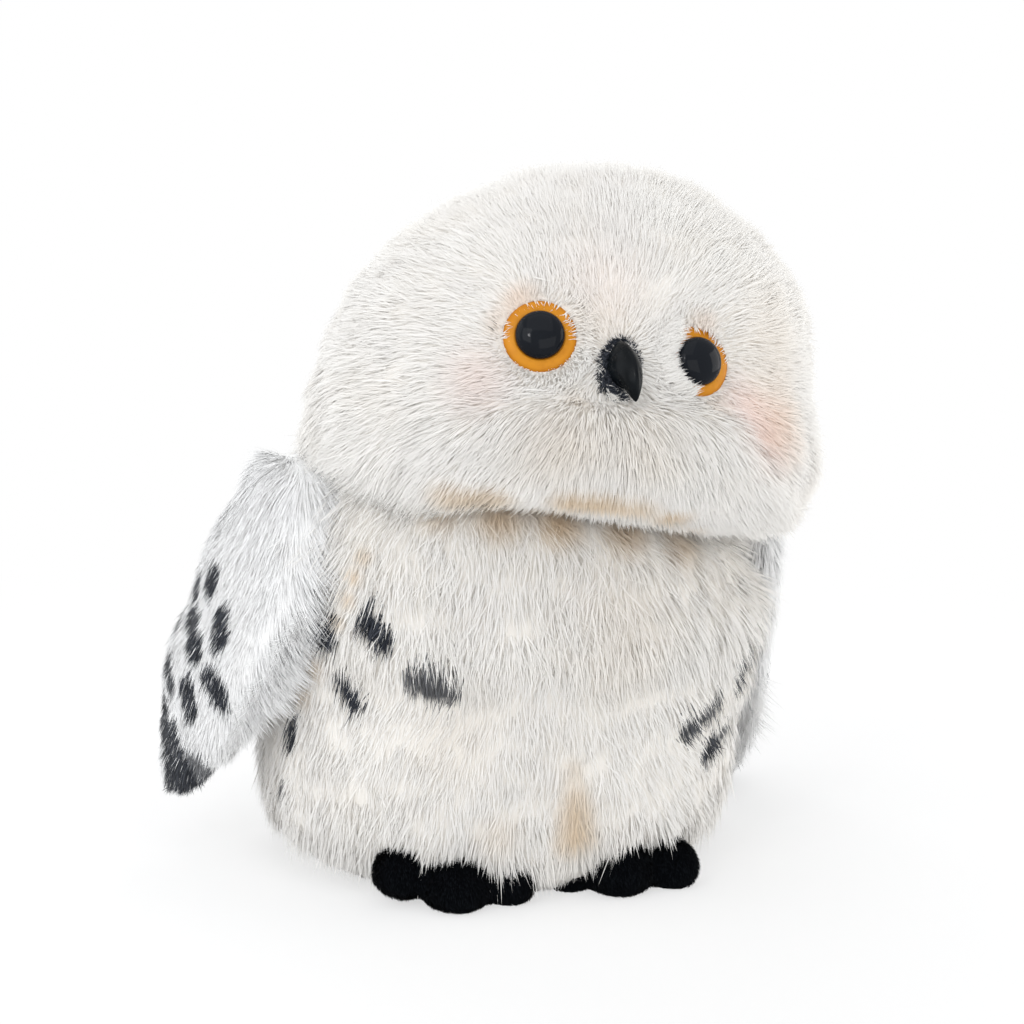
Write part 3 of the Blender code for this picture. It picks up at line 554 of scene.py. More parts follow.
# Each bar: from pixel, to pixel, half width in mm, how dark
BODY_BARS = [
    ((371, 624), (386, 643), 4.7, 1.0), ((345, 682), (360, 706), 4.2, 1.0),
    ((422, 682), (447, 693), 5.4, 0.9), ((330, 634), (333, 642), 5.6, 1.0),
    ((296, 726), (294, 744), 3.6, 1.0), ((288, 785), (286, 795), 1.4, 0.8),
    ((684, 729), (697, 719), 4.8, 0.95), ((702, 714), (713, 703), 3.8, 0.9),
    ((733, 684), (740, 660), 4.4, 1.0), ((703, 752), (711, 742), 4.8, 1.0),
    ((716, 736), (722, 726), 4.0, 0.9),
]
WING_BARS = [
    ((216, 578), (214, 588), 5.0, 1.0), ((201, 584), (199, 596), 3.4, 0.95),
    ((224, 620), (222, 640), 5.2, 1.0), ((194, 618), (196, 627), 4.2, 0.95),
    ((197, 646), (198, 652), 5.2, 1.0), ((171, 666), (174, 684), 4.4, 0.95),
    ((190, 692), (193, 710), 5.4, 1.0), ((212, 680), (225, 702), 4.8, 1.0),
    ((215, 534), (213, 540), 1.8, 0.7), ((183, 622), (180, 632), 2.4, 0.8),
    ((165, 655), (164, 664), 2.8, 0.8),
]
TIP_PATCH = [
    ((166, 706), (170, 742), 7.0, 1.0), ((174, 745), (186, 778), 8.5, 1.0),
    ((190, 780), (212, 774), 6.5, 0.85), ((182, 782), (198, 790), 9.0, 1.0),
]
LEFT_WING_EDGE = [
    ((764, 662), (763, 672), 3.0, 1.0), ((759, 698), (756, 710), 3.2, 1.0),
    ((748, 730), (744, 740), 3.0, 1.0),
]
EYE_FLECKS = [
    ((494, 330), (500, 326), 0.5, 0.8), ((722, 372), (724, 379), 0.5, 0.8),
    ((606, 352), (607, 386), 1.5, 0.9), ((597, 391), (613, 393), 0.6, 0.8),
]


def cast_bars(form, bars):
    """Bars as arrays of start, end, half width in metres and darkness."""
    found = []
    for start, end, half, dark in bars:
        found.append((*forms[form].seen_at(*start), *forms[form].seen_at(*end), half * MM, dark))
    return np.array(found)


def mirrored(bars):
    """The right wing's bars on the left wing."""
    (right, right_origin), (left, left_origin) = wing_frame("right"), wing_frame("left")
    moved = bars.copy()
    for column in (0, 3):
        local = (moved[:, column:column + 3] - right_origin) @ right
        moved[:, column:column + 3] = local @ left.T + left_origin
    return moved


right_wing_bars = cast_bars("right_wing", WING_BARS + TIP_PATCH)
tip_bars = cast_bars("right_wing", TIP_PATCH)
left_edge_bars = cast_bars("left_wing", LEFT_WING_EDGE)
bars = {
    "body": cast_bars("body", BODY_BARS),
    "right_wing": right_wing_bars,
    "left_wing": np.vstack([mirrored(right_wing_bars), left_edge_bars]),
    "right_wing_lining": tip_bars,
    "left_wing_lining": np.vstack([mirrored(tip_bars), left_edge_bars]),
}


def bar_gaps(points, normals, table):
    """How far each point is outside each bar, measured along the surface: below 0 inside it."""
    gaps = []
    for row in table:
        start, end, half = row[0:3], row[3:6], row[6]
        run = end - start
        share = np.clip(((points - start) @ run) / max(run @ run, 1e-12), 0, 1)
        gap = points - start - share[:, None] * run
        gap -= THROUGH_LEFT_OUT * (gap * normals).sum(1, keepdims=True) * normals
        gaps.append(np.linalg.norm(gap, axis=1) - half)
    return np.array(gaps)


def darkness(points, normals, table):
    """How dark each point is: its bar's darkness inside a bar, and 0 outside."""
    inside = bar_gaps(points, normals, table) < 0
    return (inside * table[:, 7:8]).max(0)


# %% [markdown]
# ## Fibres
# The renderer's own hair would be lost when the model is exported, so each fibre is real: a thin tapered
# blade of two faces. One blade is modelled here, and the planting below bends copies of it. Fibres
# root on the skin's outer side, lean the way the fur is brushed, and drift together in soft clouds.

# %% One blade
BLADE_BEND = 0.5
BLADE_TAPER = 0.85


def pick(obj, test):
    """Selects the corners whose place passes a test, and opens the mesh for editing."""
    make_active(obj)
    for part in (*obj.data.polygons, *obj.data.edges):
        part.select = False
    for vertex in obj.data.vertices:
        vertex.select = bool(test(vertex.co))
    bpy.ops.object.mode_set(mode="EDIT")


deselect()
bpy.ops.mesh.primitive_grid_add(x_subdivisions=1, y_subdivisions=2, size=1, location=(0, 0.5, 0))
blade = bpy.context.object
bpy.ops.object.transform_apply(location=True, rotation=True, scale=True)
pick(blade, lambda co: abs(co.y - BLADE_BEND) < 0.01)
bpy.ops.transform.resize(value=(BLADE_TAPER, 1, 1), center_override=(0, BLADE_BEND, 0))
bpy.ops.object.mode_set(mode="OBJECT")
pick(blade, lambda co: co.y > 0.99)
bpy.ops.mesh.merge(type="CENTER")
bpy.ops.object.mode_set(mode="OBJECT")
blade_shape = corners_of(blade)
blade_faces = [list(face.vertices) for face in blade.data.polygons]
bpy.data.objects.remove(blade)
print("one blade:", len(blade_shape), "corners,", len(blade_faces), "faces")

# %% [markdown]
# ## Planting
# Each fibre has a way of growing at its root and another at its tip, so that it bends. A smooth random
# field turns, lengthens and lifts the fibres of a place together, which gives the puffs and partings of
# fluffy pile. The blades take the smooth normals of the skin, so that the coat is shaded as one soft
# surface. A fibre is dyed where its outer half lies in a bar, shifted a little along the fibre, which
# leaves a bar clean at its sides and ragged at its ends. The pile is shorter there, so bars stay crisp.

# %% Plant fibres
CLOUD_SIZES, CLOUD_SEED = (24 * MM, 9 * MM), 7
WISP_LENGTH, WISP_LIFT = 0.22, 0.16
BAR_REACH, SHORTER_AT_BARS = (3 * MM, 11 * MM), 0.16
# How far the clouds and chance turn a fibre, and the range that chance gives its other measures
PUFF_TURN, WISP_TURN, STRAY_TURN = 0.45, 0.32, 0.2
LENGTH_RANGE, WIDTH_RANGE, ROLL_RANGE = (0.7, 1.12), (0.7, 1.3), (-0.5, 0.5)
LIFT_SPREAD, LEAST_LIFT, MOST_LIFT, TIP_LIFT = 0.11, 0.06, 1.5, 0.6
# Where along a fibre its dye is looked up, how far that place slips, and how many stay white
DYE_AT, DYE_SLIP, DYE_SHAKE, STAY_WHITE = 0.72, 1.1 * MM, 0.3 * MM, 0.05
ABOVE_GROUND = 0.2 * MM
SHADE_BY_FACING, SHADE_BY_PUFF, SHADE_BY_WISP = 0.15, 0.18, 0.08
CELL_LEFT, CELL_WIDE, CELL_LOW, CELL_TALL = 0.12, 0.76, 0.10, 0.80
DOWN = np.array((0.0, 0.0, -1.0))
PLANTED = []
noise.seed_set(CLOUD_SEED)


def clouds(points, size):
    """A smooth random way at each point, the same for points that lie close together."""
    return np.array([noise.noise_vector(Vector(point) / size) for point in points])


def nearest_panel(form, *panels):
    """For each outer triangle of a form, the number of the CAD panel that lies nearest."""
    middles = form.points[form.outer].mean(1)
    trees = []
    for panel in panels:
        mesh = nodes[panel].data
        corners, faces = [v.co for v in mesh.vertices], [f.vertices for f in mesh.polygons]
        trees.append(BVHTree.FromPolygons(corners, faces))
    gaps = [[tree.find_nearest(Vector(middle))[3] for tree in trees] for middle in middles]
    return np.argmin(gaps, axis=1)


def atlas(roots, middle):
    """A cell of a square grid for each fibre, so that fibres that grow side by side lie side by side."""
    side = math.ceil(math.sqrt(len(roots)))
    around = np.arctan2(roots[:, 0] - middle[0], roots[:, 1] - middle[1])
    column, row = np.empty(len(roots), int), np.empty(len(roots), int)
    order = np.argsort(around)
    for first in range(0, len(roots), side):
        strip = order[first:first + side]
        strip = strip[np.argsort(roots[strip, 2])]
        column[strip], row[strip] = first // side, np.arange(len(strip))
    return column, row, side


def scatter(form, triangles, count, rng):
    """Random roots on some triangles of a form, with the skin's normals there."""
    a, b, c = (form.points[triangles[:, i]] for i in range(3))
    area = np.linalg.norm(np.cross(b - a, c - a), axis=1)
    chosen = triangles[rng.choice(len(triangles), count, p=area / area.sum())]
    u, v = rng.random(count), rng.random(count)
    u, v = np.where(u + v > 1, 1 - u, u)[:, None], np.where(u + v > 1, 1 - v, v)[:, None]
    blends = [
        values[chosen[:, 0]] * (1 - u - v) + values[chosen[:, 1]] * u + values[chosen[:, 2]] * v
        for values in (form.points, form.normals)
    ]
    return blends[0], unit(blends[1])


def growth(brush, points, normals, table, wild):
    """How fur grows at each point: as its brush says, drifting with the clouds and shorter at bars."""
    way, length, lift, droop = brush(points, normals)
    if len(table):
        beside = 1 - smooth(bar_gaps(points, normals, table).min(0), *BAR_REACH)
        length = length * (1 - SHORTER_AT_BARS * beside)
    puff, wisp = clouds(points, CLOUD_SIZES[0]) * wild, clouds(points, CLOUD_SIZES[1]) * wild
    length, lift = length * (1 + WISP_LENGTH * wisp[:, 0]), lift + WISP_LIFT * wisp[:, 1]
    return way, length, lift, droop, puff, wisp


def plant(name, form, triangles, count, brush, width, seed, bare=None, table=(), wild=1.0):
    """A coat of fibres as one mesh. `brush` gives each root its way, length, lift and droop."""
    rng = np.random.default_rng(seed)
    roots, normals = scatter(form, triangles, count, rng)
    if bare is not None:
        kept = ~bare(roots)
        roots, normals = roots[kept], normals[kept]
    count = len(roots)
    tangents, length, lift, droop, puff, wisp = growth(brush, roots, normals, table, wild)

    stray = rng.normal(0, STRAY_TURN * wild, (count, 3))
    tangents = along_skin(tangents + PUFF_TURN * puff + WISP_TURN * wisp + stray, normals)
    length = length * rng.uniform(*LENGTH_RANGE, count)
    lift = np.clip(lift + rng.normal(0, LIFT_SPREAD, count), LEAST_LIFT, MOST_LIFT)[:, None]
    rise = normals * np.sin(lift) + tangents * np.cos(lift)
    lay = lift * TIP_LIFT
    fall = unit(normals * np.sin(lay) + tangents * np.cos(lay) + droop[:, None] * DOWN)

    def path(share):
        bent = rise * share + (fall - rise) * share * share / 2
        return roots + bent * length[:, None]

    across = unit(np.cross(fall, normals))
    roll = rng.uniform(*ROLL_RANGE, count)[:, None]
    facing = np.cross(across, fall)
    across = across * np.cos(roll) + facing * np.sin(roll)
    facing = np.cross(across, fall)
    width = (width * rng.uniform(*WIDTH_RANGE, count))[:, None]

    corners = np.empty((count, len(blade_shape), 3))
    for i, (x, y, _) in enumerate(blade_shape):
        corners[:, i] = path(y) + across * width * x
    dye = np.zeros(count)
    if len(table):
        slip = rng.normal(0, DYE_SLIP, count)[:, None] * fall + rng.normal(0, DYE_SHAKE, (count, 3))
        dye = darkness(path(DYE_AT) + slip, normals, table) * (rng.random(count) > STAY_WHITE)
    corners[..., 2] = np.maximum(corners[..., 2], ABOVE_GROUND)
    shine = unit(normals + SHADE_BY_FACING * facing + SHADE_BY_PUFF * puff + SHADE_BY_WISP * wisp)
    values = {
        "along": np.broadcast_to(blade_shape[:, 1], (count, len(blade_shape))),
        "dye": np.broadcast_to(dye[:, None], (count, len(blade_shape))),
        "tone": np.broadcast_to(rng.random(count)[:, None], (count, len(blade_shape))),
    }
    made = blades_mesh(name, corners, values, shine, atlas(roots, form.points.mean(0)))
    PLANTED.append(count)
    print(f"{name}: {count} fibres, {sum(len(f) - 2 for f in blade_faces) * count} triangles")
    return made


def blades_mesh(name, corners, values, shine, cells):
    """The mesh object of many blades, with their stored numbers, map and normals."""
    count, size = corners.shape[:2]
    one = np.concatenate(blade_faces)
    starts = np.cumsum([0] + [len(f) for f in blade_faces[:-1]])
    loops = (one[None, :] + size * np.arange(count)[:, None]).ravel()
    mesh = bpy.data.meshes.new(name)
    mesh.vertices.add(count * size)
    mesh.vertices.foreach_set("co", corners.astype(np.float32).ravel())
    mesh.loops.add(len(loops))
    mesh.loops.foreach_set("vertex_index", loops.astype(np.int32))
    mesh.polygons.add(count * len(blade_faces))
    firsts = (starts[None, :] + len(one) * np.arange(count)[:, None]).ravel()
    mesh.polygons.foreach_set("loop_start", firsts.astype(np.int32))
    mesh.update(calc_edges=True)
    for key, value in values.items():
        stored = mesh.attributes.new(key, "FLOAT", "POINT")
        stored.data.foreach_set("value", value.astype(np.float32).ravel())
    column, row, side = cells
    cell_u = (column[:, None] + CELL_LEFT + CELL_WIDE * (blade_shape[one, 0] + 0.5)[None, :]) / side
    cell_v = (row[:, None] + CELL_LOW + CELL_TALL * blade_shape[one, 1][None, :]) / side
    chart = mesh.uv_layers.new(name="OFBake")
    chart.data.foreach_set("uv", np.stack([cell_u, cell_v], axis=-1).astype(np.float32).ravel())
    mesh.polygons.foreach_set("use_smooth", np.ones(len(mesh.polygons), bool))
    mesh.normals_split_custom_set_from_vertices(np.repeat(shine, size, axis=0))
    made = bpy.data.objects.new(name, mesh)
    bpy.context.scene.collection.objects.link(made)
    return made


# %% [markdown]
# ## How the head is brushed
# On the head the pile is short round the eyes and the beak and is brushed away from them on all sides. It
# is fuller on the owl's left than on its right, where the light side of the head is smooth, so the
# fullness is read from a short table by the angle round the line of sight. Under the beak the fur stands
# out as a ruff.

# %% Head brushes
EYE_BARE, EYE_RIM, EYE_FADE, EYE_PILE = 11.4 * MM, 13.4 * MM, (12 * MM, 20 * MM), 4.2 * MM
PATCH_BARE_WIDE, PATCH_BARE_TALL = 4.6 * MM, 7.5 * MM
BRIDGE_ABOVE_BEAK, FACE_FADE = 6 * MM, (9 * MM, 40 * MM)
LOW_ON_RUFF, LIP_OF_RUFF = (14 * MM, 38 * MM), (30 * MM, 62 * MM)
FACE_PILE, HEAD_PILE, RUFF_PILE = 6 * MM, 11.5 * MM, 11.5 * MM
HANG_LENGTH = 10 * MM
# From where the fur of the head turns down, and how far behind an eye or the patch a root still counts
BEHIND_RANGE, BARE_DEPTH, EYE_DEPTH = (-0.35, 0.55), -30 * MM, -25 * MM
# How steeply the fur stands, and how much flatter it lies or further it sags at some places
FACE_LIFT, GROWN_LAY, FACE_DROOP, HANG_DROOP = 0.52, 0.12, 0.03, 0.9
RUFF_DOWN, RUFF_LIFT, RUFF_LAY, RUFF_DROOP = 0.35, 0.55, 0.15, 0.1
RUFF_SHORTER, RUFF_LIP, EYE_LIFT = 0.35, 0.15, 0.9
# On the upper part of an eye's rim every second fibre is turned in over it
RIM_FROM, TURNED_IN = -2 * MM, -0.7
# Degrees round the frame, and how far the fur hangs over the neck there
HANG = (
    (-180, 0.1), (-165, 0.7), (-145, 1.0), (-125, 0.7), (-105, 0.15), (-70, 0.0), (-50, 0.1),
    (-30, 0.2), (0, 0),
)

face_out = np.array(beak_turn.col[2])
head_up = np.array(beak_turn.col[1])
bridge = np.array(beak_middle) + head_up * BRIDGE_ABOVE_BEAK
EYES = ((right_eye, right_eye_turn), (left_eye, left_eye_turn))


def from_axis(points, middle, turn):
    """Places beside an eye's or the beak's own axis: across, up, and how far out."""
    return (points - np.array(middle)) @ np.array(turn)


def bare_face(points):
    """Whether a root would be under an eye or the beak's patch."""
    bare = np.zeros(len(points), bool)
    for middle, turn, wide, tall in (
        (right_eye, right_eye_turn, EYE_BARE, EYE_BARE),
        (left_eye, left_eye_turn, EYE_BARE, EYE_BARE),
        (beak_middle, beak_turn, PATCH_BARE_WIDE, PATCH_BARE_TALL),
    ):
        at = from_axis(points, middle, turn)
        bare |= (np.hypot(at[:, 0] / wide, at[:, 1] / tall) < 1) & (at[:, 2] > BARE_DEPTH)
    return bare


def brush_head(points, normals):
    """Away from the bridge of the beak in front, down behind, and out round each eye."""
    radial = along_skin(points - bridge, normals)
    ahead = unit(points - np.array(head_middle)) @ face_out
    behind = smooth(-ahead, *BEHIND_RANGE)[:, None]
    way = radial * (1 - behind) + DOWN * behind
    gap = np.linalg.norm(points - bridge, axis=1)
    grown, hang = smooth(gap, *FACE_FADE), by_angle(points, HANG, 0)
    length = FACE_PILE + (HEAD_PILE - FACE_PILE) * grown + HANG_LENGTH * hang
    lift = FACE_LIFT - GROWN_LAY * grown
    droop = FACE_DROOP + HANG_DROOP * hang

    ruff, below = ruff_share(points, normals), below_ruff_edge(points)
    low, lip = smooth(below, *LOW_ON_RUFF), smooth(points @ frame_right, *LIP_OF_RUFF)
    way = way + DOWN * (RUFF_DOWN * ruff)[:, None]
    ruff_length = RUFF_PILE * (1 - RUFF_SHORTER * low + RUFF_LIP * lip) + HANG_LENGTH * hang
    length = length * (1 - ruff) + ruff_length * ruff
    lift = lift * (1 - ruff) + (RUFF_LIFT - RUFF_LAY * low) * ruff
    droop = droop + RUFF_DROOP * low * ruff

    for middle, turn in EYES:
        at = from_axis(points, middle, turn)
        distance = np.hypot(at[:, 0], at[:, 1])
        close = (1 - smooth(distance, *EYE_FADE)) * (at[:, 2] > EYE_DEPTH)
        off = unit(at[:, 0:1] * np.array(turn.col[0]) + at[:, 1:2] * np.array(turn.col[1]))
        turned_in = (distance < EYE_RIM) & (at[:, 1] > RIM_FROM) & (np.arange(len(points)) % 2 == 0)
        rim = np.where(turned_in, TURNED_IN, 1.0)[:, None]
        way = way * (1 - close[:, None]) + off * rim * close[:, None]
        length = length * (1 - close) + EYE_PILE * close
        lift = lift * (1 - close) + EYE_LIFT * close
    return way, length, lift, droop


# %% [markdown]
# ## How the body, wings and tail are brushed
# On the body the fur hangs down and a little outward. Under the ruff it is long and stands up to meet it,
# so that no neck shows, and it parts between the legs. On the wings and tail it lies flat towards the
# tip, and it stands out over the wings' front edges.

# %% Body and flap brushes
BODY_PILE, NECK_PILE, HEM_PILE, WING_PILE, TAIL_PILE = 12.5 * MM, 17 * MM, 17 * MM, 8 * MM, 10 * MM
WING_FRINGE = 19 * MM
HEM_HEIGHT, HEM_SIDE = 3.5 * MM, 4 * MM
HEM_ARCH, HEM_ARCH_WIDTH, HEM_LEAST, HEM_REACH = 5 * MM, 12 * MM, 4 * MM, 1.1
LOW_RANGE, FRONT_RANGE, LEFT_RANGE = (8 * MM, 48 * MM), (0.1, 0.7), (20 * MM, 60 * MM)
# How the body's fur fans out, and how it parts between the legs
FAN_WIDTH, FAN_SHARE = 25 * MM, 0.35
PARTING_WIDTH, PARTING_TURN, PARTING_SHARE = 9 * MM, 4 * MM, 0.8
# How steeply it stands and how far it sags, and what is added low, high and on the left flank
BODY_LIFT, LOW_LAY, HIGH_LIFT, FLANK_LAY = 0.40, 0.08, 0.06, 0.1
BODY_DROOP, LOW_DROOP, HIGH_HOLD = 0.12, 0.3, 0.05
# The same for a flap: along its front edge, and at its root
EDGE_STEPS, EDGE_FROM = 25, -0.2
EDGE_RANGE, EDGE_FADE, ROOT_RANGE = (2 * MM, 17 * MM), (0.5, 0.9), (-0.12, 0.22)
EDGE_TURN, EDGE_INWARD, ROOT_GROWTH = 0.55, 0.35, 4 * MM
FLAP_LIFT, EDGE_LIFT, ROOT_LAY = 0.32, 0.1, 0.14
FLAP_DROOP, EDGE_DROOP, ROOT_DROOP = 0.05, 0.15, 0.2
ACROSS = np.array((1.0, 0.0, 0.0))

leg_gap = np.array(forms["body"].seen_at(580, 810))


def brush_body(points, normals):
    """Down and outward, longer at the hem and the neck, and parted between the legs."""
    outward = ACROSS * np.tanh((points[:, 0:1] - body_middle.x) / FAN_WIDTH)
    low = 1 - smooth(points[:, 2], *LOW_RANGE)
    high = high_on_body(points)
    front = smooth(-normals[:, 1], *FRONT_RANGE)
    left_flank = smooth(points[:, 0], *LEFT_RANGE) * low
    beside = points[:, 0] - leg_gap[0]
    parting = np.exp(-(beside / PARTING_WIDTH) ** 2) * front * low
    way = DOWN + outward * (FAN_SHARE * front * (1 - low) * (1 - high))[:, None]
    way = way + ACROSS * (np.tanh(beside / PARTING_TURN) * parting * PARTING_SHARE)[:, None]
    length = BODY_PILE + (HEM_PILE - BODY_PILE) * low + (NECK_PILE - BODY_PILE) * high
    arch = HEM_ARCH * np.exp(-(beside / HEM_ARCH_WIDTH) ** 2) * front
    hem = HEM_HEIGHT + arch + HEM_SIDE * (1 - front)
    length = np.minimum(length, np.maximum(HEM_LEAST, (points[:, 2] - hem) * HEM_REACH))
    lift = BODY_LIFT - LOW_LAY * low + HIGH_LIFT * high - FLANK_LAY * left_flank
    return way, length, lift, BODY_DROOP + LOW_DROOP * low - HIGH_HOLD * high


def brush_flap(side, length):
    """A brush for a flap that lies flat towards its tip, and stands out over its front edge."""
    hinge = joints["tail_lift" if side == "tail" else f"{side}_wing_flap"]
    origin = np.array(hinge["pos_m"])
    axis = unit(np.array(hinge["axis"]))
    form = forms["tail" if side == "tail" else f"{side}_wing"]
    reach = form.points - origin
    reach -= np.outer(reach @ axis, axis)
    tip_way = unit(reach[np.argmax(np.linalg.norm(reach, axis=1))])
    longest = (reach @ tip_way).max()
    forward, inward = np.zeros(3), np.zeros(3)
    if side != "tail":
        forward = axis * (-1 if side == "right" else 1)
        inward = -wing_frame(side)[0][:, 0]
    shares = np.linspace(EDGE_FROM, 1, EDGE_STEPS)
    step = np.digitize((form.points - origin) @ tip_way / longest, shares)
    step = np.clip(step, 0, EDGE_STEPS - 1)
    chord = (form.points - origin) @ forward
    at_step = [chord[step == i] for i in range(EDGE_STEPS)]
    front_edge = np.array([found.max() if len(found) else 0 for found in at_step])

    def brush(points, normals):
        share = (points - origin) @ tip_way / longest
        gap = np.interp(share, shares, front_edge) - (points - origin) @ forward
        edge = (1 - smooth(gap, *EDGE_RANGE)) * (1 - smooth(share, *EDGE_FADE)) * (side != "tail")
        root = 1 - smooth(share, *ROOT_RANGE)
        over_edge = (forward + EDGE_INWARD * inward) * edge[:, None]
        way = tip_way * (1 - EDGE_TURN * edge)[:, None] + over_edge
        length_here = length + (WING_FRINGE - length) * edge + ROOT_GROWTH * root * (1 - edge)
        lift = FLAP_LIFT + EDGE_LIFT * edge - ROOT_LAY * root
        return way, length_here, lift, FLAP_DROOP + EDGE_DROOP * edge + ROOT_DROOP * root

    return brush


# %% [markdown]
# ## What the fur is made of
# Acrylic pile is nearly white. Towards the root its colour deepens to cream, which is painted shade deep
# in the pile. Painted warm shade lies in the crease under the ruff, under the beak, beside the wing,
# between the legs, round the eyes and on the shaded side of the head, and the cheeks have a faint blush.
# The wings' pile is painted lighter than the head's, as painted light for the shade on the wings. The
# fibres store how far along they are and whether they are dyed, and the material reads both.

# %% Fur materials
# BLUSH is the cheeks' own pink; the tan and peach tints are painted warm shade
BLUSH, PAINTED_TAN_SHADE, PAINTED_PEACH_SHADE = (0.90, 0.60, 0.52), (0.72, 0.55, 0.36), (0.88, 0.62, 0.44)
FUR_DEPTH = 7 * MM
# The root colours are painted shade deep in the pile; the tips carry the pile's own colour
WHITE_TIP, WHITE_ROOT_PAINTED_SHADE = (0.935, 0.915, 0.885), (0.91, 0.865, 0.80)
CREAM_TIP, CREAM_ROOT_PAINTED_SHADE = (0.918, 0.90, 0.872), (0.895, 0.845, 0.77)
# The wings' pile is the white pile painted lighter, as painted light for the shade on the wings, with a
# faint painted shade at its root
WING_TIP_PAINTED_LIGHTER, WING_ROOT_PAINTED_LIGHT_AND_SHADE = (0.97, 0.97, 0.97), (0.96, 0.955, 0.945)
DULL, INK_DARK, INK_LIGHT = (0.80, 0.77, 0.72), (0.010, 0.013, 0.020), (0.065, 0.072, 0.09)


def places_on(form, *spots):
    """Each spot is a pixel x and y, a radius in mm, a colour and how strong it is. It lies in the fur."""
    placed = []
    for x, y, radius, tint, amount in spots:
        placed.append((forms[form].seen_at(x, y) + away * FUR_DEPTH, radius * MM, tint, amount))
    return placed


# Blush on the cheeks and faintly on the brow; the rest is painted shade: tan in the crease under the ruff,
# under the beak and between the eyes, peach round the eyes and on the shaded side of the head
HEAD_BLUSH_AND_PAINTED_SHADE = places_on(
    "head", (474, 378, 20, BLUSH, 0.26), (766, 432, 22, BLUSH, 0.45), (745, 395, 15, BLUSH, 0.30),
    (522, 300, 11, PAINTED_PEACH_SHADE, 0.75), (500, 320, 10, PAINTED_PEACH_SHADE, 0.55), (708, 328, 10, PAINTED_PEACH_SHADE, 0.60),
    (775, 350, 30, PAINTED_TAN_SHADE, 0.18), (580, 392, 9, PAINTED_TAN_SHADE, 0.30), (600, 270, 26, BLUSH, 0.08),
    (600, 320, 16, PAINTED_TAN_SHADE, 0.14), (720, 400, 9, PAINTED_PEACH_SHADE, 0.25), (520, 305, 14, PAINTED_PEACH_SHADE, 0.25),
    (620, 300, 24, PAINTED_PEACH_SHADE, 0.08), (448, 497, 11, PAINTED_TAN_SHADE, 0.60), (470, 499, 11, PAINTED_TAN_SHADE, 0.60),
    (495, 501, 11, PAINTED_TAN_SHADE, 0.65), (520, 502, 15, PAINTED_TAN_SHADE, 0.75), (545, 503, 15, PAINTED_TAN_SHADE, 0.75),
    (570, 504, 12, PAINTED_TAN_SHADE, 0.80), (595, 505, 12, PAINTED_TAN_SHADE, 0.80), (618, 508, 12, PAINTED_TAN_SHADE, 0.70),
    (640, 512, 11, PAINTED_TAN_SHADE, 0.60), (670, 517, 11, PAINTED_TAN_SHADE, 0.85), (688, 521, 10, PAINTED_TAN_SHADE, 0.65),
    (560, 450, 26, PAINTED_TAN_SHADE, 0.20), (650, 455, 24, PAINTED_TAN_SHADE, 0.12), (782, 425, 24, PAINTED_PEACH_SHADE, 0.35),
)
# All painted tan shade: in the crease under the ruff, between the legs, along the wing's front edge and in
# hollows of the belly
BODY_PAINTED_SHADE = places_on(
    "body", (440, 508, 13, PAINTED_TAN_SHADE, 0.60), (500, 516, 14, PAINTED_TAN_SHADE, 0.80), (560, 522, 14, PAINTED_TAN_SHADE, 0.90),
    (625, 530, 14, PAINTED_TAN_SHADE, 0.80), (680, 545, 13, PAINTED_TAN_SHADE, 0.60), (577, 772, 8, PAINTED_TAN_SHADE, 0.55),
    (577, 794, 9, PAINTED_TAN_SHADE, 0.70), (577, 816, 11, PAINTED_TAN_SHADE, 0.90), (577, 840, 12, PAINTED_TAN_SHADE, 0.95),
    (362, 556, 6, PAINTED_TAN_SHADE, 0.65), (353, 578, 6, PAINTED_TAN_SHADE, 0.70), (345, 600, 6, PAINTED_TAN_SHADE, 0.70),
    (334, 622, 6, PAINTED_TAN_SHADE, 0.65), (312, 668, 8, PAINTED_TAN_SHADE, 0.60), (298, 694, 8, PAINTED_TAN_SHADE, 0.55),
    (630, 630, 34, PAINTED_TAN_SHADE, 0.12), (450, 740, 26, PAINTED_TAN_SHADE, 0.10), (500, 840, 14, PAINTED_TAN_SHADE, 0.22),
)


def fur(name, tip, root, blush_and_painted_shade=()):
    """Pile painted in shade at its root and at warm places, with blush, darkened by dye and by painted
    shade.
    """

    def build():
        along, dye, tone = own("along"), own("dye"), own("tone")
        # Deeper towards the root: painted shade deep in the pile
        colour = mix(ramp(along, 0.0, 0.6), root, tip)
        colour = mix(ramp(grain(42, 3), 0.42, 0.78, 0.0, 0.3), colour, root)
        # The cheeks' blush, and painted warm shade at the places given
        for point, radius, tint, amount in blush_and_painted_shade:
            colour = mix(near(point, radius) * amount, colour, tint)
        colour = mix(ramp(tone, 0.0, 1.0, 0.0, 0.08), colour, DULL)
        ink = mix(ramp(tone, 0.3, 1.0), INK_DARK, INK_LIGHT)
        return {"Base Color": mix(dye, colour, ink)}

    return material(
        name, build, Roughness=0.8, Sheen_Weight=0.2, Sheen_Roughness=0.5, Specular_IOR_Level=0.2,
    )


head_pile = fur("white head pile", WHITE_TIP, WHITE_ROOT_PAINTED_SHADE, HEAD_BLUSH_AND_PAINTED_SHADE)
cream_pile = fur("cream pile", CREAM_TIP, CREAM_ROOT_PAINTED_SHADE, BODY_PAINTED_SHADE)
wing_pile_painted_lighter = fur("wing pile painted lighter", WING_TIP_PAINTED_LIGHTER, WING_ROOT_PAINTED_LIGHT_AND_SHADE)

# %% [markdown]
# The head's four panels each get their own coat. A few longer fibres fall from the bridge of the beak
# over the inner side of the owl's left eye, as in the photograph.

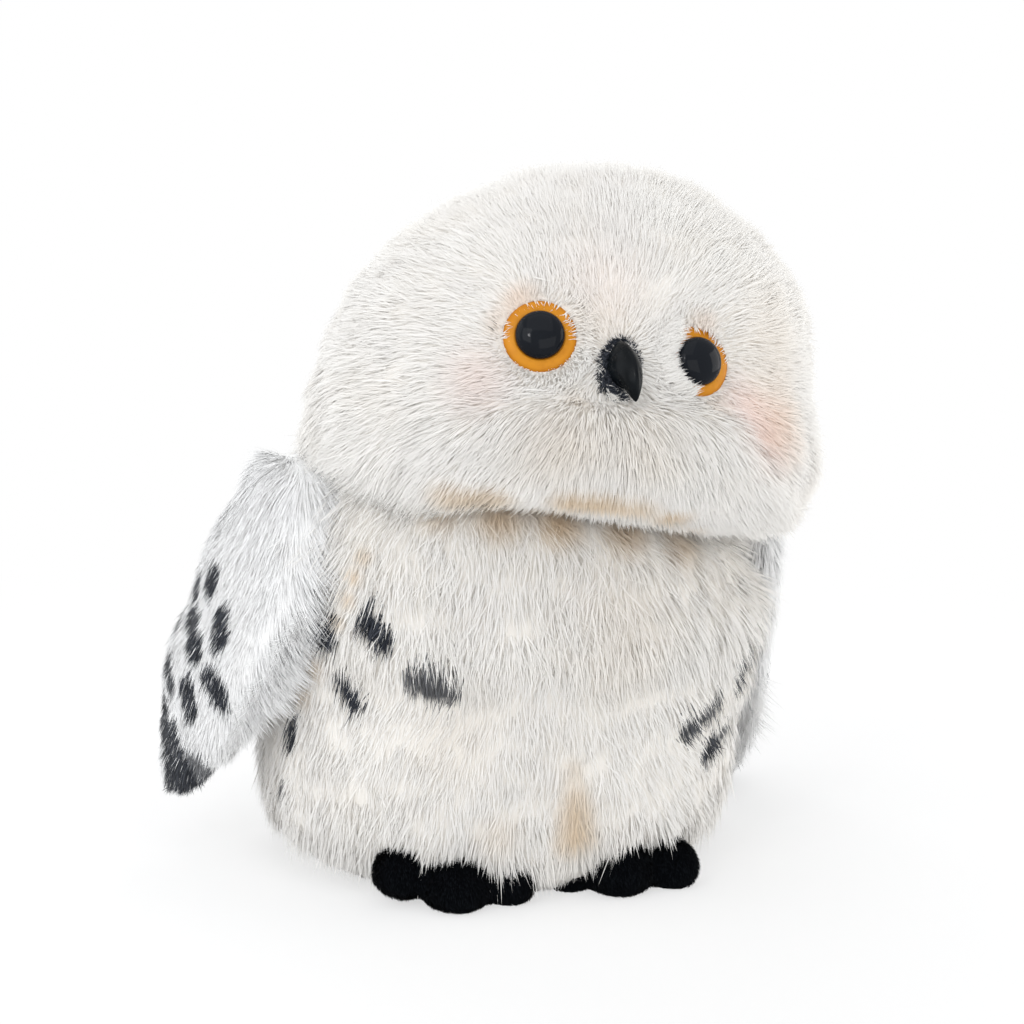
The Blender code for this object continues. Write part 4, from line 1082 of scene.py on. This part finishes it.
# %% Plant the head
MANY = 1.0
HEAD_COUNTS, BODY_COUNTS = (60000, 58000, 50000, 50000), (62000, 52000, 52000)
BRIDGE_COUNT, OUTER_COUNT, LINING_COUNT, TAIL_COUNT = 1500, 38000, 26000, 20000
HEAD_WIDTH, BODY_WIDTH, WING_WIDTH, TAIL_WIDTH = 0.45 * MM, 0.48 * MM, 0.4 * MM, 0.42 * MM
WING_WILD, TAIL_WILD = 0.5, 0.6
HEAD_SEED, BRIDGE_SEED, BODY_SEED, WING_SEED, TAIL_SEED = 11, 17, 21, 31, 41
# The fibres of the bridge: how far up they point, and their length, lift and sag
BRIDGE_UP, BRIDGE_GROWTH = 0.15, (7.5 * MM, 0.7, 0.1)
# They root beside the owl's left eye: how near, how far to its inner side, and how deep behind it
INNER_NEAR, INNER_SIDE, INNER_DEPTH = 17 * MM, -8 * MM, -20 * MM

bars["head"] = cast_bars("head", EYE_FLECKS)
head_side = nearest_panel(forms["head"], *HEAD_PANELS)
for i, (panel, count) in enumerate(zip(HEAD_PANELS, HEAD_COUNTS)):
    coat = plant(
        panel.replace("_panel", "_fur"), forms["head"], forms["head"].outer[head_side == i],
        int(count * MANY), brush_head, HEAD_WIDTH, HEAD_SEED + i, bare_face,
        bars["head"] if i < 2 else (),
    )
    dress(coat, head_pile, "white_fur", "head")


def brush_bridge(points, normals):
    """White fibres that fall from the bridge of the beak over the inner side of the owl's left eye."""
    across = np.array(left_eye_turn.col[0]) + BRIDGE_UP * np.array(left_eye_turn.col[1])
    length, lift, droop = (np.full(len(points), value) for value in BRIDGE_GROWTH)
    return np.broadcast_to(across, points.shape), length, lift, droop


face = forms["head"].outer[head_side == 0]
at = from_axis(forms["head"].points[face].mean(1), left_eye, left_eye_turn)
near_eye = (np.hypot(at[:, 0], at[:, 1]) < INNER_NEAR) & (at[:, 2] > INNER_DEPTH)
inner = near_eye & (at[:, 0] < INNER_SIDE)
coat = plant(
    "bridge_fur", forms["head"], face[inner], BRIDGE_COUNT, brush_bridge, HEAD_WIDTH, BRIDGE_SEED,
    bare_face,
)
dress(coat, head_pile, "white_fur", "head")

# %% [markdown]
# The body's coat is creamier than the head's, and its fibres are a little thicker, as the pile there is
# longer. The same bars dye all three panels.

# %% Plant the body
body_side = nearest_panel(forms["body"], *BODY_PANELS)
for i, (panel, count) in enumerate(zip(BODY_PANELS, BODY_COUNTS)):
    coat = plant(
        panel.replace("_panel", "_fur"), forms["body"], forms["body"].outer[body_side == i],
        int(count * MANY), brush_body, BODY_WIDTH, BODY_SEED + i, table=bars["body"],
    )
    dress(coat, cream_pile, "cream_fur" if i == 0 else "white_fur", "torso")

# %% [markdown]
# The wings and the tail have a shorter, tidier coat. The wings' outer sides carry the bars, and their
# linings only the dark tip.

# %% Plant the wings and the tail
# The wings' pile is painted lighter than the head's, as painted light
for side in ("right", "left"):
    form = forms[f"{side}_wing"]
    which = nearest_panel(form, f"{side}_wing_outer_panel", f"{side}_wing_lining")
    for i, (part, count) in enumerate((("outer", OUTER_COUNT), ("lining", LINING_COUNT))):
        table = bars[f"{side}_wing" + "_lining" * i]
        coat = plant(
            f"{side}_wing_{part}_fur", form, form.outer[which == i], int(count * MANY),
            brush_flap(side, WING_PILE), WING_WIDTH, WING_SEED + i, table=table, wild=WING_WILD,
        )
        dress(coat, wing_pile_painted_lighter, "white_fur", f"{side}_wing")
coat = plant(
    "tail_fur", forms["tail"], forms["tail"].outer, int(TAIL_COUNT * MANY), brush_flap("tail", TAIL_PILE),
    TAIL_WIDTH, TAIL_SEED, wild=TAIL_WILD,
)
dress(coat, cream_pile, "white_fur", "tail")
print("fibres in all:", sum(PLANTED))

# %% [markdown]
# ## The felt under the fibres
# Between long fibres lies a felt of short ones, so the eye never reaches the knitted cloth. The skins play
# that part: they are raised a little over the fibres' roots, except beside the eyes and the beak, and take
# the same material and the same dyed bars as the fibres that grow through them. Their colour is the
# fibres' colour partway to the root, and a little darker, which is painted shade for the fibres' shadow.

# %% Raise and dress the skins
# The felt's share of the pile's height, its least darkening towards black as painted shade, and its bars'
# width
FELT_SHARE, FELT_PAINTED_SHADE, BAR_CORE = 0.53, 0.05, 0.6
# Where along a fibre the felt takes its colour, towards the root's painted shade, its tone and its steepest
# lift
FELT_ALONG, FELT_TONE, FELT_LIFT = 0.3, 0.5, 0.45
FELT_CLEAR, UPRIGHT_SHARE = (8 * MM, 28 * MM), 0.9
WILD = {"head": 1.0, "body": 1.0, "tail": TAIL_WILD, "right_wing": WING_WILD, "left_wing": WING_WILD}


def standing_height(brush, points, normals, table, wild):
    """How high the fur stands on the skin, as its brush and the clouds make it."""
    _, length, lift, *_ = growth(brush, points, normals, table, wild)
    lift = np.clip(lift, LEAST_LIFT, FELT_LIFT)
    height = UPRIGHT_SHARE * length * (np.sin(lift) + np.sin(TIP_LIFT * lift)) / 2
    if brush is brush_head:
        for middle, turn in (*EYES, (beak_middle, beak_turn)):
            distance = np.hypot(*from_axis(points, middle, turn)[:, :2].T)
            height = height * smooth(distance, *FELT_CLEAR)
    return height


def store_dye_and_painted_shade(piece, dark):
    """Gives a skin the numbers that the fur materials read from fibres, with a little painted shade in its
    dye.
    """
    stored_values = {
        "along": np.full(len(dark), FELT_ALONG),
        # Every skin is darkened at least a little: painted shade between the fibres
        "dye": np.maximum(dark, FELT_PAINTED_SHADE),
        "tone": np.full(len(dark), FELT_TONE),
    }
    for key, values in stored_values.items():
        stored = piece.data.attributes.new(key, "FLOAT", "POINT")
        stored.data.foreach_set("value", values.astype(np.float32))


brush_right, brush_left = brush_flap("right", WING_PILE), brush_flap("left", WING_PILE)
for piece, name, body, finish, brush, panels in (
    (head_skin, "head", "head", head_pile, brush_head, HEAD_PANELS),
    (body_skin, "body", "torso", cream_pile, brush_body, BODY_PANELS),
    (right_wing_skin, "right_wing", "right_wing", wing_pile_painted_lighter, brush_right, RIGHT_WING_PANELS),
    (left_wing_skin, "left_wing", "left_wing", wing_pile_painted_lighter, brush_left, LEFT_WING_PANELS),
    (tail_skin, "tail", "tail", cream_pile, brush_flap("tail", TAIL_PILE), TAIL_PANELS),
):
    form = forms[name]
    outer = np.zeros(len(form.points), bool)
    outer[form.outer.ravel()] = True
    felt = standing_height(brush, form.points, form.normals, bars.get(name, ()), WILD[name])
    felt = FELT_SHARE * felt * outer
    raised = form.points + form.normals * felt[:, None]
    move_corners(piece, raised)
    dark = np.zeros(len(form.points))
    if name in bars:
        core = (1, 1, 1, 1, 1, 1, BAR_CORE, 1)
        dark = darkness(form.points, form.normals, bars[name] * core)
        if name.endswith("wing"):
            inner_side = form.normals @ wing_frame(name.split("_")[0])[0][:, 0] < 0
            lining_dark = darkness(form.points, form.normals, bars[f"{name}_lining"] * core)
            dark = np.where(inner_side, lining_dark, dark)
    store_dye_and_painted_shade(piece, dark)
    dress(piece, finish, "cream_fur" if name == "body" else "white_fur", body, panels)

# %% [markdown]
# ## Turned and lofted parts
# The eyes are round, so they are turned like pots: a ring is extruded straight up as a tube, one step for
# each point of the profile, and then each ring gets the radius and height of its point. The beak is made
# from the same tube, whose rings are placed along a hook instead.

# %% A tube of rings
EYE_SIDES, BEAK_SIDES = 96, 24
SHARP_ANGLE = math.radians(38)


def tube(name, sides, rings):
    """A straight tube of unit radius with its rings at heights 0, 1, 2 and so on, closed at both ends."""
    deselect()
    bpy.ops.mesh.primitive_circle_add(vertices=sides, radius=1, location=(0, 0, 0))
    made = bpy.context.object
    bpy.ops.object.mode_set(mode="EDIT")
    for _ in range(rings - 1):
        bpy.ops.mesh.extrude_region_move(TRANSFORM_OT_translate={"value": (0, 0, 1)})
    bpy.ops.mesh.select_all(action="SELECT")
    bpy.ops.mesh.fill_holes(sides=0)
    bpy.ops.object.mode_set(mode="OBJECT")
    made.name = made.data.name = name
    return made


def reshape(obj, place_of):
    """Moves every corner to the place that `place_of` gives for it, and closes the poles."""
    points = corners_of(obj)
    moved = np.array([place_of(*point) for point in points])
    obj.data.vertices.foreach_set("co", moved.astype(np.float32).ravel())
    make_active(obj)
    bpy.ops.object.mode_set(mode="EDIT")
    bpy.ops.mesh.select_all(action="SELECT")
    bpy.ops.mesh.remove_doubles(threshold=0.005 * MM)
    bpy.ops.mesh.normals_make_consistent(inside=False)
    bpy.ops.object.mode_set(mode="OBJECT")
    return obj


def turned(name, profile, seat, turn):
    """A turned part with a profile of radius and height in mm, on a seat that a turn faces out from."""
    base = np.array(seat)
    axes = np.array(turn)

    def place_of(x, y, z):
        radius, height = profile[round(z)]
        return base + axes @ np.array((x * radius, y * radius, height)) * MM

    made = reshape(tube(name, EYE_SIDES, len(profile)), place_of)
    make_active(made)
    bpy.ops.object.shade_smooth_by_angle(angle=SHARP_ANGLE)
    return made


def seat_of(node_name, turn):
    """The middle of a part's underside, seen along its own turn."""
    local = corners_of(nodes[node_name]) @ np.array(turn)
    low, high = local.min(0), local.max(0)
    return np.array(turn) @ np.array(((low[0] + high[0]) / 2, (low[1] + high[1]) / 2, low[2]))


# %% [markdown]
# ## Eyes
# Each eye is an orange disc under a polished black dome with a stem through the head. The disc is satin
# plastic with a soft rim, a little deeper in colour at the rim and round the pupil. The dome is
# polished, so the lamps show in it.

# %% Eyes
IRIS_PROFILE = (
    (2.5, 0.35), (11.2, 0.35), (11.75, 0.55), (12.0, 0.95), (11.95, 1.4), (11.6, 1.8), (10.9, 2.1),
    (9.8, 2.38), (8.6, 2.56), (8.3, 2.56), (8.1, 2.45), (2.5, 2.4),
)
DOME_PROFILE = (
    (0, -9), (2.2, -9), (2.2, 0.05), (7.6, 0.05), (8.0, 0.2), (8.1, 0.6), (8.02, 1.2), (7.75, 1.9),
    (7.25, 2.6), (6.4, 3.25), (5.2, 3.8), (3.7, 4.2), (1.9, 4.42), (0, 4.48),
)
# How far the disc sits below its seat and the dome above it, in mm
IRIS_DROP, DOME_RISE = 0.3, 2.3
RIM_DEEP, PUPIL_DEEP, DEEPER = (10.2 * MM, 12.2 * MM), (8.9 * MM, 8.2 * MM), 0.5
IRIS_ORANGE, IRIS_AMBER = (0.68, 0.27, 0.012), (0.60, 0.225, 0.010)
IRIS_RIM, IRIS_INNER = (0.46, 0.15, 0.006), (0.40, 0.12, 0.006)
DOME_BLACK, DOME_GREY = (0.004, 0.005, 0.008), (0.008, 0.010, 0.014)


def iris_finish(name, seat):
    """Orange plastic that deepens at its rim and round the pupil, by the distance from its middle."""

    def build():
        distance = distance_from(seat)
        rim = ramp(distance, *RIM_DEEP)
        inner = ramp(distance, *PUPIL_DEEP)
        colour = mix(ramp(grain(260, 4), 0.35, 0.7), IRIS_ORANGE, IRIS_AMBER)
        colour = mix(rim * DEEPER, colour, IRIS_RIM)
        return {"Base Color": mix(inner * DEEPER, colour, IRIS_INNER)}

    return material(name, build, Roughness=0.4, Specular_IOR_Level=0.2)


polished_black = material(
    "polished black plastic",
    lambda: {"Base Color": mix(ramp(grain(30, 2), 0.4, 0.6), DOME_BLACK, DOME_GREY)},
    Roughness=0.06, Specular_IOR_Level=0.11,
)
for side, turn in (("right", right_eye_turn), ("left", left_eye_turn)):
    disc, dome = f"{side}_iris_disc", f"{side}_eye_dome"
    seat = seat_of(disc, turn)
    under = seat - np.array(turn.col[2]) * IRIS_DROP * MM
    iris = turned(f"{side}_iris", IRIS_PROFILE, under, turn)
    dress(iris, iris_finish(f"{side} iris orange", seat), "iris_orange", "head", (disc,))
    top = Vector(seat_of(disc, turn)) + turn.col[2] * DOME_RISE * MM
    pupil = turned(f"{side}_pupil", DOME_PROFILE, top, turn)
    dress(pupil, polished_black, "glossy_black", "head", (dome,))

# %% [markdown]
# ## Beak
# The beak is moulded in black plastic: a hook with a ridge along its top. Each ring of the tube spans from
# a point on the ridge to a point on the underside, and is narrower towards the ridge. One level of
# subdivision rounds it. It comes out of a patch of short black pile, which hides its seam.

# %% Beak
# Ridge up and out, underside up and out, half width, all in mm from the patch's underside
BEAK_RINGS = (
    (10.2, 0.6, -5.5, 0.6, 5.0), (9.9, 2.6, -6.0, 1.8, 5.3), (8.6, 5.4, -6.6, 3.2, 5.1),
    (6.2, 8.2, -7.2, 4.4, 4.6), (2.6, 10.6, -8.0, 5.4, 3.9), (-1.8, 11.9, -9.0, 6.2, 3.1),
    (-6.0, 11.8, -10.2, 7.0, 2.2), (-9.6, 10.6, -11.6, 7.9, 1.2), (-11.6, 9.4, -12.3, 8.6, 0.5),
    (-12.2, 8.9, -12.2, 8.9, 0.0),
)
BEAK_RIDGE_SHARE, BEAK_RIDGE_POWER, BEAK_LEAN = 0.42, 1.3, 0.16
BEAK_BLACK, BEAK_GREY = (0.002, 0.003, 0.004), (0.005, 0.007, 0.009)

patch_seat = seat_of("beak_patch", beak_turn)


def beak_place(x, y, z):
    top_up, top_out, low_up, low_out, half = BEAK_RINGS[round(z)]
    share = (y + 1) / 2
    up, out = low_up + (top_up - low_up) * share, low_out + (top_out - low_out) * share
    narrowing = 1 - BEAK_RIDGE_SHARE * max(0, y) ** BEAK_RIDGE_POWER
    side = x * half * narrowing + BEAK_LEAN * out
    return patch_seat + np.array(beak_turn) @ np.array((side, up, out)) * MM


beak = reshape(tube("hooked_beak", BEAK_SIDES, len(BEAK_RINGS)), beak_place)
finish_with(beak, ("SUBSURF", {"levels": 1, "render_levels": 1}))
beak.data.shade_smooth()
beak_black = material(
    "beak plastic",
    lambda: {
        "Base Color": mix(ramp(grain(90, 3), 0.4, 0.65), BEAK_BLACK, BEAK_GREY),
        "Roughness": ramp(grain(140, 3), 0.3, 0.7, 0.22, 0.32),
    },
    Specular_IOR_Level=0.09,
)
dress(beak, beak_black, "glossy_black", "head", ("beak",))

# %% [markdown]
# ## Black pile
# The patch round the beak and the feet are of short black pile, like velvet. Their forms are melted from
# the panels as the skins were, and short fibres stand on them. On the feet the colour is nearly black
# everywhere, with a slightly lighter tip, so that the toes still read. Round the beak dark and white
# hairs mix.

# %% Beak patch and feet
PATCH_PILE, FOOT_PILE = 2.8 * MM, 2.6 * MM
PATCH_COUNT, PATCH_WIDTH, FOOT_COUNT, FOOT_WIDTH = 4500, 0.35 * MM, 16000, 0.5 * MM
PATCH_VOXEL, PATCH_SWELL, FOOT_VOXEL, FOOT_SWELL = 0.45 * MM, 0.2 * MM, 1.1 * MM, 2 * MM
PATCH_SEED, PATCH_WILD, FOOT_SEED, FOOT_WILD = 51, 0.8, 53, 0.5
FORM_ABOVE_GROUND = 0.1 * MM
# How much longer the patch is on the owl's right and where, how far its hairs turn up, and their lift
PATCH_LONGER, PATCH_LONG_SIDE, PATCH_UP, PATCH_LIFT = 0.5, (2 * MM, 6 * MM), 0.5, 0.85
FOOT_WAY, FOOT_LIFT, FOOT_DROOP = (0.0, -0.7, -0.7), 0.75, 0.1
PILE_BLACK, PILE_GREY = (0.0015, 0.002, 0.003), (0.009, 0.011, 0.014)
BACKING_BLACK, BACKING_GREY = (0.002, 0.002, 0.003), (0.006, 0.006, 0.008)
# The dark hairs of the patch, as the bars are given
PATCH_BARS = [
    ((605, 352), (608, 384), 3.6, 1.0), ((614, 344), (630, 338), 1.8, 1.0),
    ((640, 341), (648, 362), 1.3, 1.0), ((612, 386), (624, 398), 1.6, 1.0),
]

black_pile = material(
    "short black pile",
    lambda: {"Base Color": mix(ramp(own("tone") * own("along"), 0.2, 1.0), PILE_BLACK, PILE_GREY)},
    Roughness=0.9, Sheen_Weight=0.02, Sheen_Roughness=0.4, Specular_IOR_Level=0.05,
)
black_backing = material(
    "black pile backing",
    lambda: {"Base Color": mix(ramp(grain(300, 3), 0.4, 0.6), BACKING_BLACK, BACKING_GREY)},
    Roughness=0.95, Specular_IOR_Level=0.1,
)


def melted(name, voxel, swell, *panels):
    """A small soft form melted from its panels, whose clefts narrower than twice `swell` close up."""
    made = finish_with(
        copy_of(name, *panels),
        ("REMESH", {"mode": "VOXEL", "voxel_size": voxel}),
        ("DISPLACE", {"strength": swell, "mid_level": 0}),
        ("REMESH", {"mode": "VOXEL", "voxel_size": voxel}),
        ("DISPLACE", {"strength": -swell, "mid_level": 0}),
        ("SMOOTH", {"factor": 0.5, "iterations": 4}),
    )
    points = corners_of(made)
    points[:, 2] = np.maximum(points[:, 2], FORM_ABOVE_GROUND)
    move_corners(made, points)
    made.data.shade_smooth()
    return made


def brush_patch(points, normals):
    """Away from the beak on all sides, and longer on the owl's right."""
    at = from_axis(points, beak_middle, beak_turn)
    across, up = np.array(beak_turn.col[0]), np.array(beak_turn.col[1])
    many = len(points)
    length = PATCH_PILE * (1 + PATCH_LONGER * smooth(-at[:, 0], *PATCH_LONG_SIDE))
    way = at[:, 0:1] * across + at[:, 1:2] * PATCH_UP * up
    return way, length, np.full(many, PATCH_LIFT), np.zeros(many)


def brush_foot(points, normals):
    """Forward and down over the toes."""
    many = len(points)
    way = along_skin(np.broadcast_to(FOOT_WAY, points.shape), normals)
    return way, np.full(many, FOOT_PILE), np.full(many, FOOT_LIFT), np.full(many, FOOT_DROOP)


patch = melted("beak_patch_form", PATCH_VOXEL, PATCH_SWELL, "beak_patch")
form = forms["patch"] = Form(patch)
bars["patch"] = cast_bars("patch", PATCH_BARS)
store_dye_and_painted_shade(patch, darkness(form.points, form.normals, bars["patch"]))
dress(patch, head_pile, "black_pile", "head", ("beak_patch",))
coat = plant(
    "beak_patch_fur", form, form.outer, PATCH_COUNT, brush_patch, PATCH_WIDTH, PATCH_SEED,
    table=bars["patch"], wild=PATCH_WILD,
)
dress(coat, head_pile, "black_pile", "head")
for i, side in enumerate(("right", "left")):
    panels = (f"{side}_foot_upper", f"{side}_foot_sole")
    foot = melted(f"{side}_foot", FOOT_VOXEL, FOOT_SWELL, *panels)
    dress(foot, black_backing, "black_pile", "torso", panels)
    form = Form(foot)
    count = int(FOOT_COUNT * MANY)
    coat = plant(
        f"{side}_foot_fur", form, form.outer, count, brush_foot, FOOT_WIDTH, FOOT_SEED + i,
        wild=FOOT_WILD,
    )
    dress(coat, black_pile, "black_pile", "torso")

# %% [markdown]
# ## What is inside
# The stuffing, the pellet bag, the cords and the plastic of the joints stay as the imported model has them.
# They are hidden here, but the part may be opened or seen from below, so each gets a real finish.

# %% Inner parts


def stuffing():
    return {
        "Base Color": mix(ramp(grain(160, 5, 0.7), 0.35, 0.7), (0.74, 0.74, 0.72), (0.90, 0.90, 0.89)),
        "Normal": bump(grain(240, 6, 0.7), 0.6, 1.5 * MM),
    }


def bump(height, strength, distance):
    inputs = {"Height": height, "Strength": strength, "Distance": distance}
    return Wire.node("ShaderNodeBump", None, inputs)


def stripes(scale, direction, distortion=0.0):
    """Fine parallel bands across one of the object's directions."""
    settings = {"wave_type": "BANDS", "bands_direction": direction}
    inputs = {"Vector": place(), "Scale": scale, "Distortion": distortion, "Detail": 1.0}
    return Wire.node("ShaderNodeTexWave", settings, inputs, output="Fac")


def plain_weave():
    threads = stripes(320, "X") * 0.5 + stripes(320, "Y") * 0.5
    return {
        "Base Color": mix(ramp(threads, 0.2, 0.8), (0.52, 0.50, 0.45), (0.74, 0.72, 0.66)),
        "Normal": bump(threads, 0.5, 0.3 * MM),
    }


def twisted_thread():
    strands = stripes(260, "DIAGONAL", 1.0)
    return {
        "Base Color": mix(strands, (0.66, 0.64, 0.59), (0.83, 0.82, 0.78)),
        "Normal": bump(strands, 0.5, 0.2 * MM),
    }


def moulded_white():
    return {
        "Base Color": mix(ramp(grain(60, 3), 0.35, 0.7), (0.70, 0.70, 0.68), (0.77, 0.77, 0.75)),
        "Roughness": ramp(grain(180, 2), 0.3, 0.7, 0.38, 0.52),
        "Normal": bump(grain(900, 2), 0.15, 0.1 * MM),
    }


polyester = material("polyester stuffing", stuffing, Roughness=0.95)
SHRUNK = {"strength": -3 * MM, "mid_level": 0}
for name, body in (("head", "head"), ("body", "torso")):
    filling = finish_with(copy_of(f"{name}_stuffing", f"{name}_filling"), ("DISPLACE", SHRUNK))
    filling.data.shade_smooth()
    dress(filling, polyester, "stuffing", body, (f"{name}_filling",))

INNER_FINISHES = (
    (polyester, ("filling",)),
    (material("plain woven cloth", plain_weave, Roughness=0.9), ("base_panel", "pellet_bag")),
    (material("waxed thread", twisted_thread, Roughness=0.7), ("cord",)),
    (material("moulded white plastic", moulded_white), ("neck_", "washer")),
)
for finish, words in INNER_FINISHES:
    for name, node in nodes.items():
        if any(word in name for word in words):
            if node.material_slots:
                node.material_slots[0].material = finish
            else:
                node.data.materials.append(finish)
            print(name, "gets", finish.name)

# %% [markdown]
# ## Light and ground
# The photograph has soft daylight from the left and an empty white ground. Large area lamps make the same
# soft light, and the ground shows white to the camera while it still takes the owl's shadow.

# %% Lamps, world and ground


def lamp(name, azimuth, elevation, distance, size, power, colour):
    a, e = math.radians(azimuth), math.radians(elevation)
    way = Vector((math.sin(a) * math.cos(e), -math.cos(a) * math.cos(e), math.sin(e)))
    turn = (-way).to_track_quat("-Z", "Y").to_euler()
    bpy.ops.object.light_add(type="AREA", location=AIM + way * distance, rotation=turn)
    made = bpy.context.object
    made.name = name
    made.data.size, made.data.energy, made.data.color = size, power, colour
    return made


lamp("window", -50, 28, 1.3, 0.7, 2.6, (0.98, 0.99, 1.0))
lamp("catchlight", -38, 30, 1.3, 0.12, 1.0, (1.0, 1.0, 1.0))
lamp("left", -105, 25, 1.4, 1.2, 4.0, (1.0, 1.0, 1.0))
lamp("sky", -15, 66, 1.4, 1.4, 3.6, (1.0, 1.0, 1.0))
lamp("front", 5, 3, 1.5, 1.2, 4.7, (1.0, 0.99, 0.97))
lamp("right fill", 78, 8, 1.4, 1.0, 6.6, (1.0, 0.975, 0.94))
lamp("back", 175, 38, 1.5, 1.2, 8.5, (1.0, 1.0, 1.0))


def seen_or_mirrored():
    """1 for a ray from the camera, from a mirror or through glass."""
    rays = Wire.tree.nodes.new("ShaderNodeLightPath")
    camera_ray, mirror_ray, glass_ray = (Wire(rays.outputs[f"Is {kind} Ray"]) for kind in RAY_KINDS)
    return Wire.maths("MAXIMUM", camera_ray, Wire.maths("MAXIMUM", mirror_ray, glass_ray))


RAY_KINDS = ("Camera", "Glossy", "Transmission")
ROOM_COLOUR, ROOM_STRENGTH, WHITE = (0.95, 0.975, 1.0, 1), 0.60, (1.0, 1.0, 1.0)
GROUND_RADIUS, SHADOW_RADIUS, GROUND_COLOUR, GROUND_GLOW = 6, 0.55, (0.95, 0.95, 0.95, 1), 0.6

world = bpy.data.worlds.new("studio")
bpy.context.scene.world = world
world.use_nodes = True
Wire.tree = world.node_tree
world_out = world.node_tree.nodes["World Output"]
room = world.node_tree.nodes["Background"]
room.inputs["Color"].default_value = ROOM_COLOUR
room.inputs["Strength"].default_value = ROOM_STRENGTH
white = Wire.node("ShaderNodeBackground", None, {"Color": WHITE, "Strength": 1.0})
shaders = {0: seen_or_mirrored(), 1: Wire(room.outputs[0]), 2: white}
choice = Wire.node("ShaderNodeMixShader", None, shaders)
Wire.feed(world_out.inputs["Surface"], choice)

deselect()
bpy.ops.mesh.primitive_circle_add(
    vertices=96, radius=GROUND_RADIUS, fill_type="NGON", location=(0, 0, 0),
)
ground = bpy.context.object
ground.name = "ground"
floor_finish = bpy.data.materials.new("white ground")
floor_finish.use_nodes = True
Wire.tree = floor_finish.node_tree
paper = floor_finish.node_tree.nodes["Principled BSDF"]
paper.inputs["Base Color"].default_value = GROUND_COLOUR
paper.inputs["Roughness"].default_value = 0.9
glow = Wire.node("ShaderNodeEmission", None, {"Color": WHITE, "Strength": 1.0})
far = 1 - near((0, 0, 0), SHADOW_RADIUS) * (1 - GROUND_GLOW)
lit = far * seen_or_mirrored()
shown = Wire.node("ShaderNodeMixShader", None, {0: lit, 1: Wire(paper.outputs[0]), 2: glow})
Wire.feed(floor_finish.node_tree.nodes["Material Output"].inputs["Surface"], shown)
ground.data.materials.append(floor_finish)
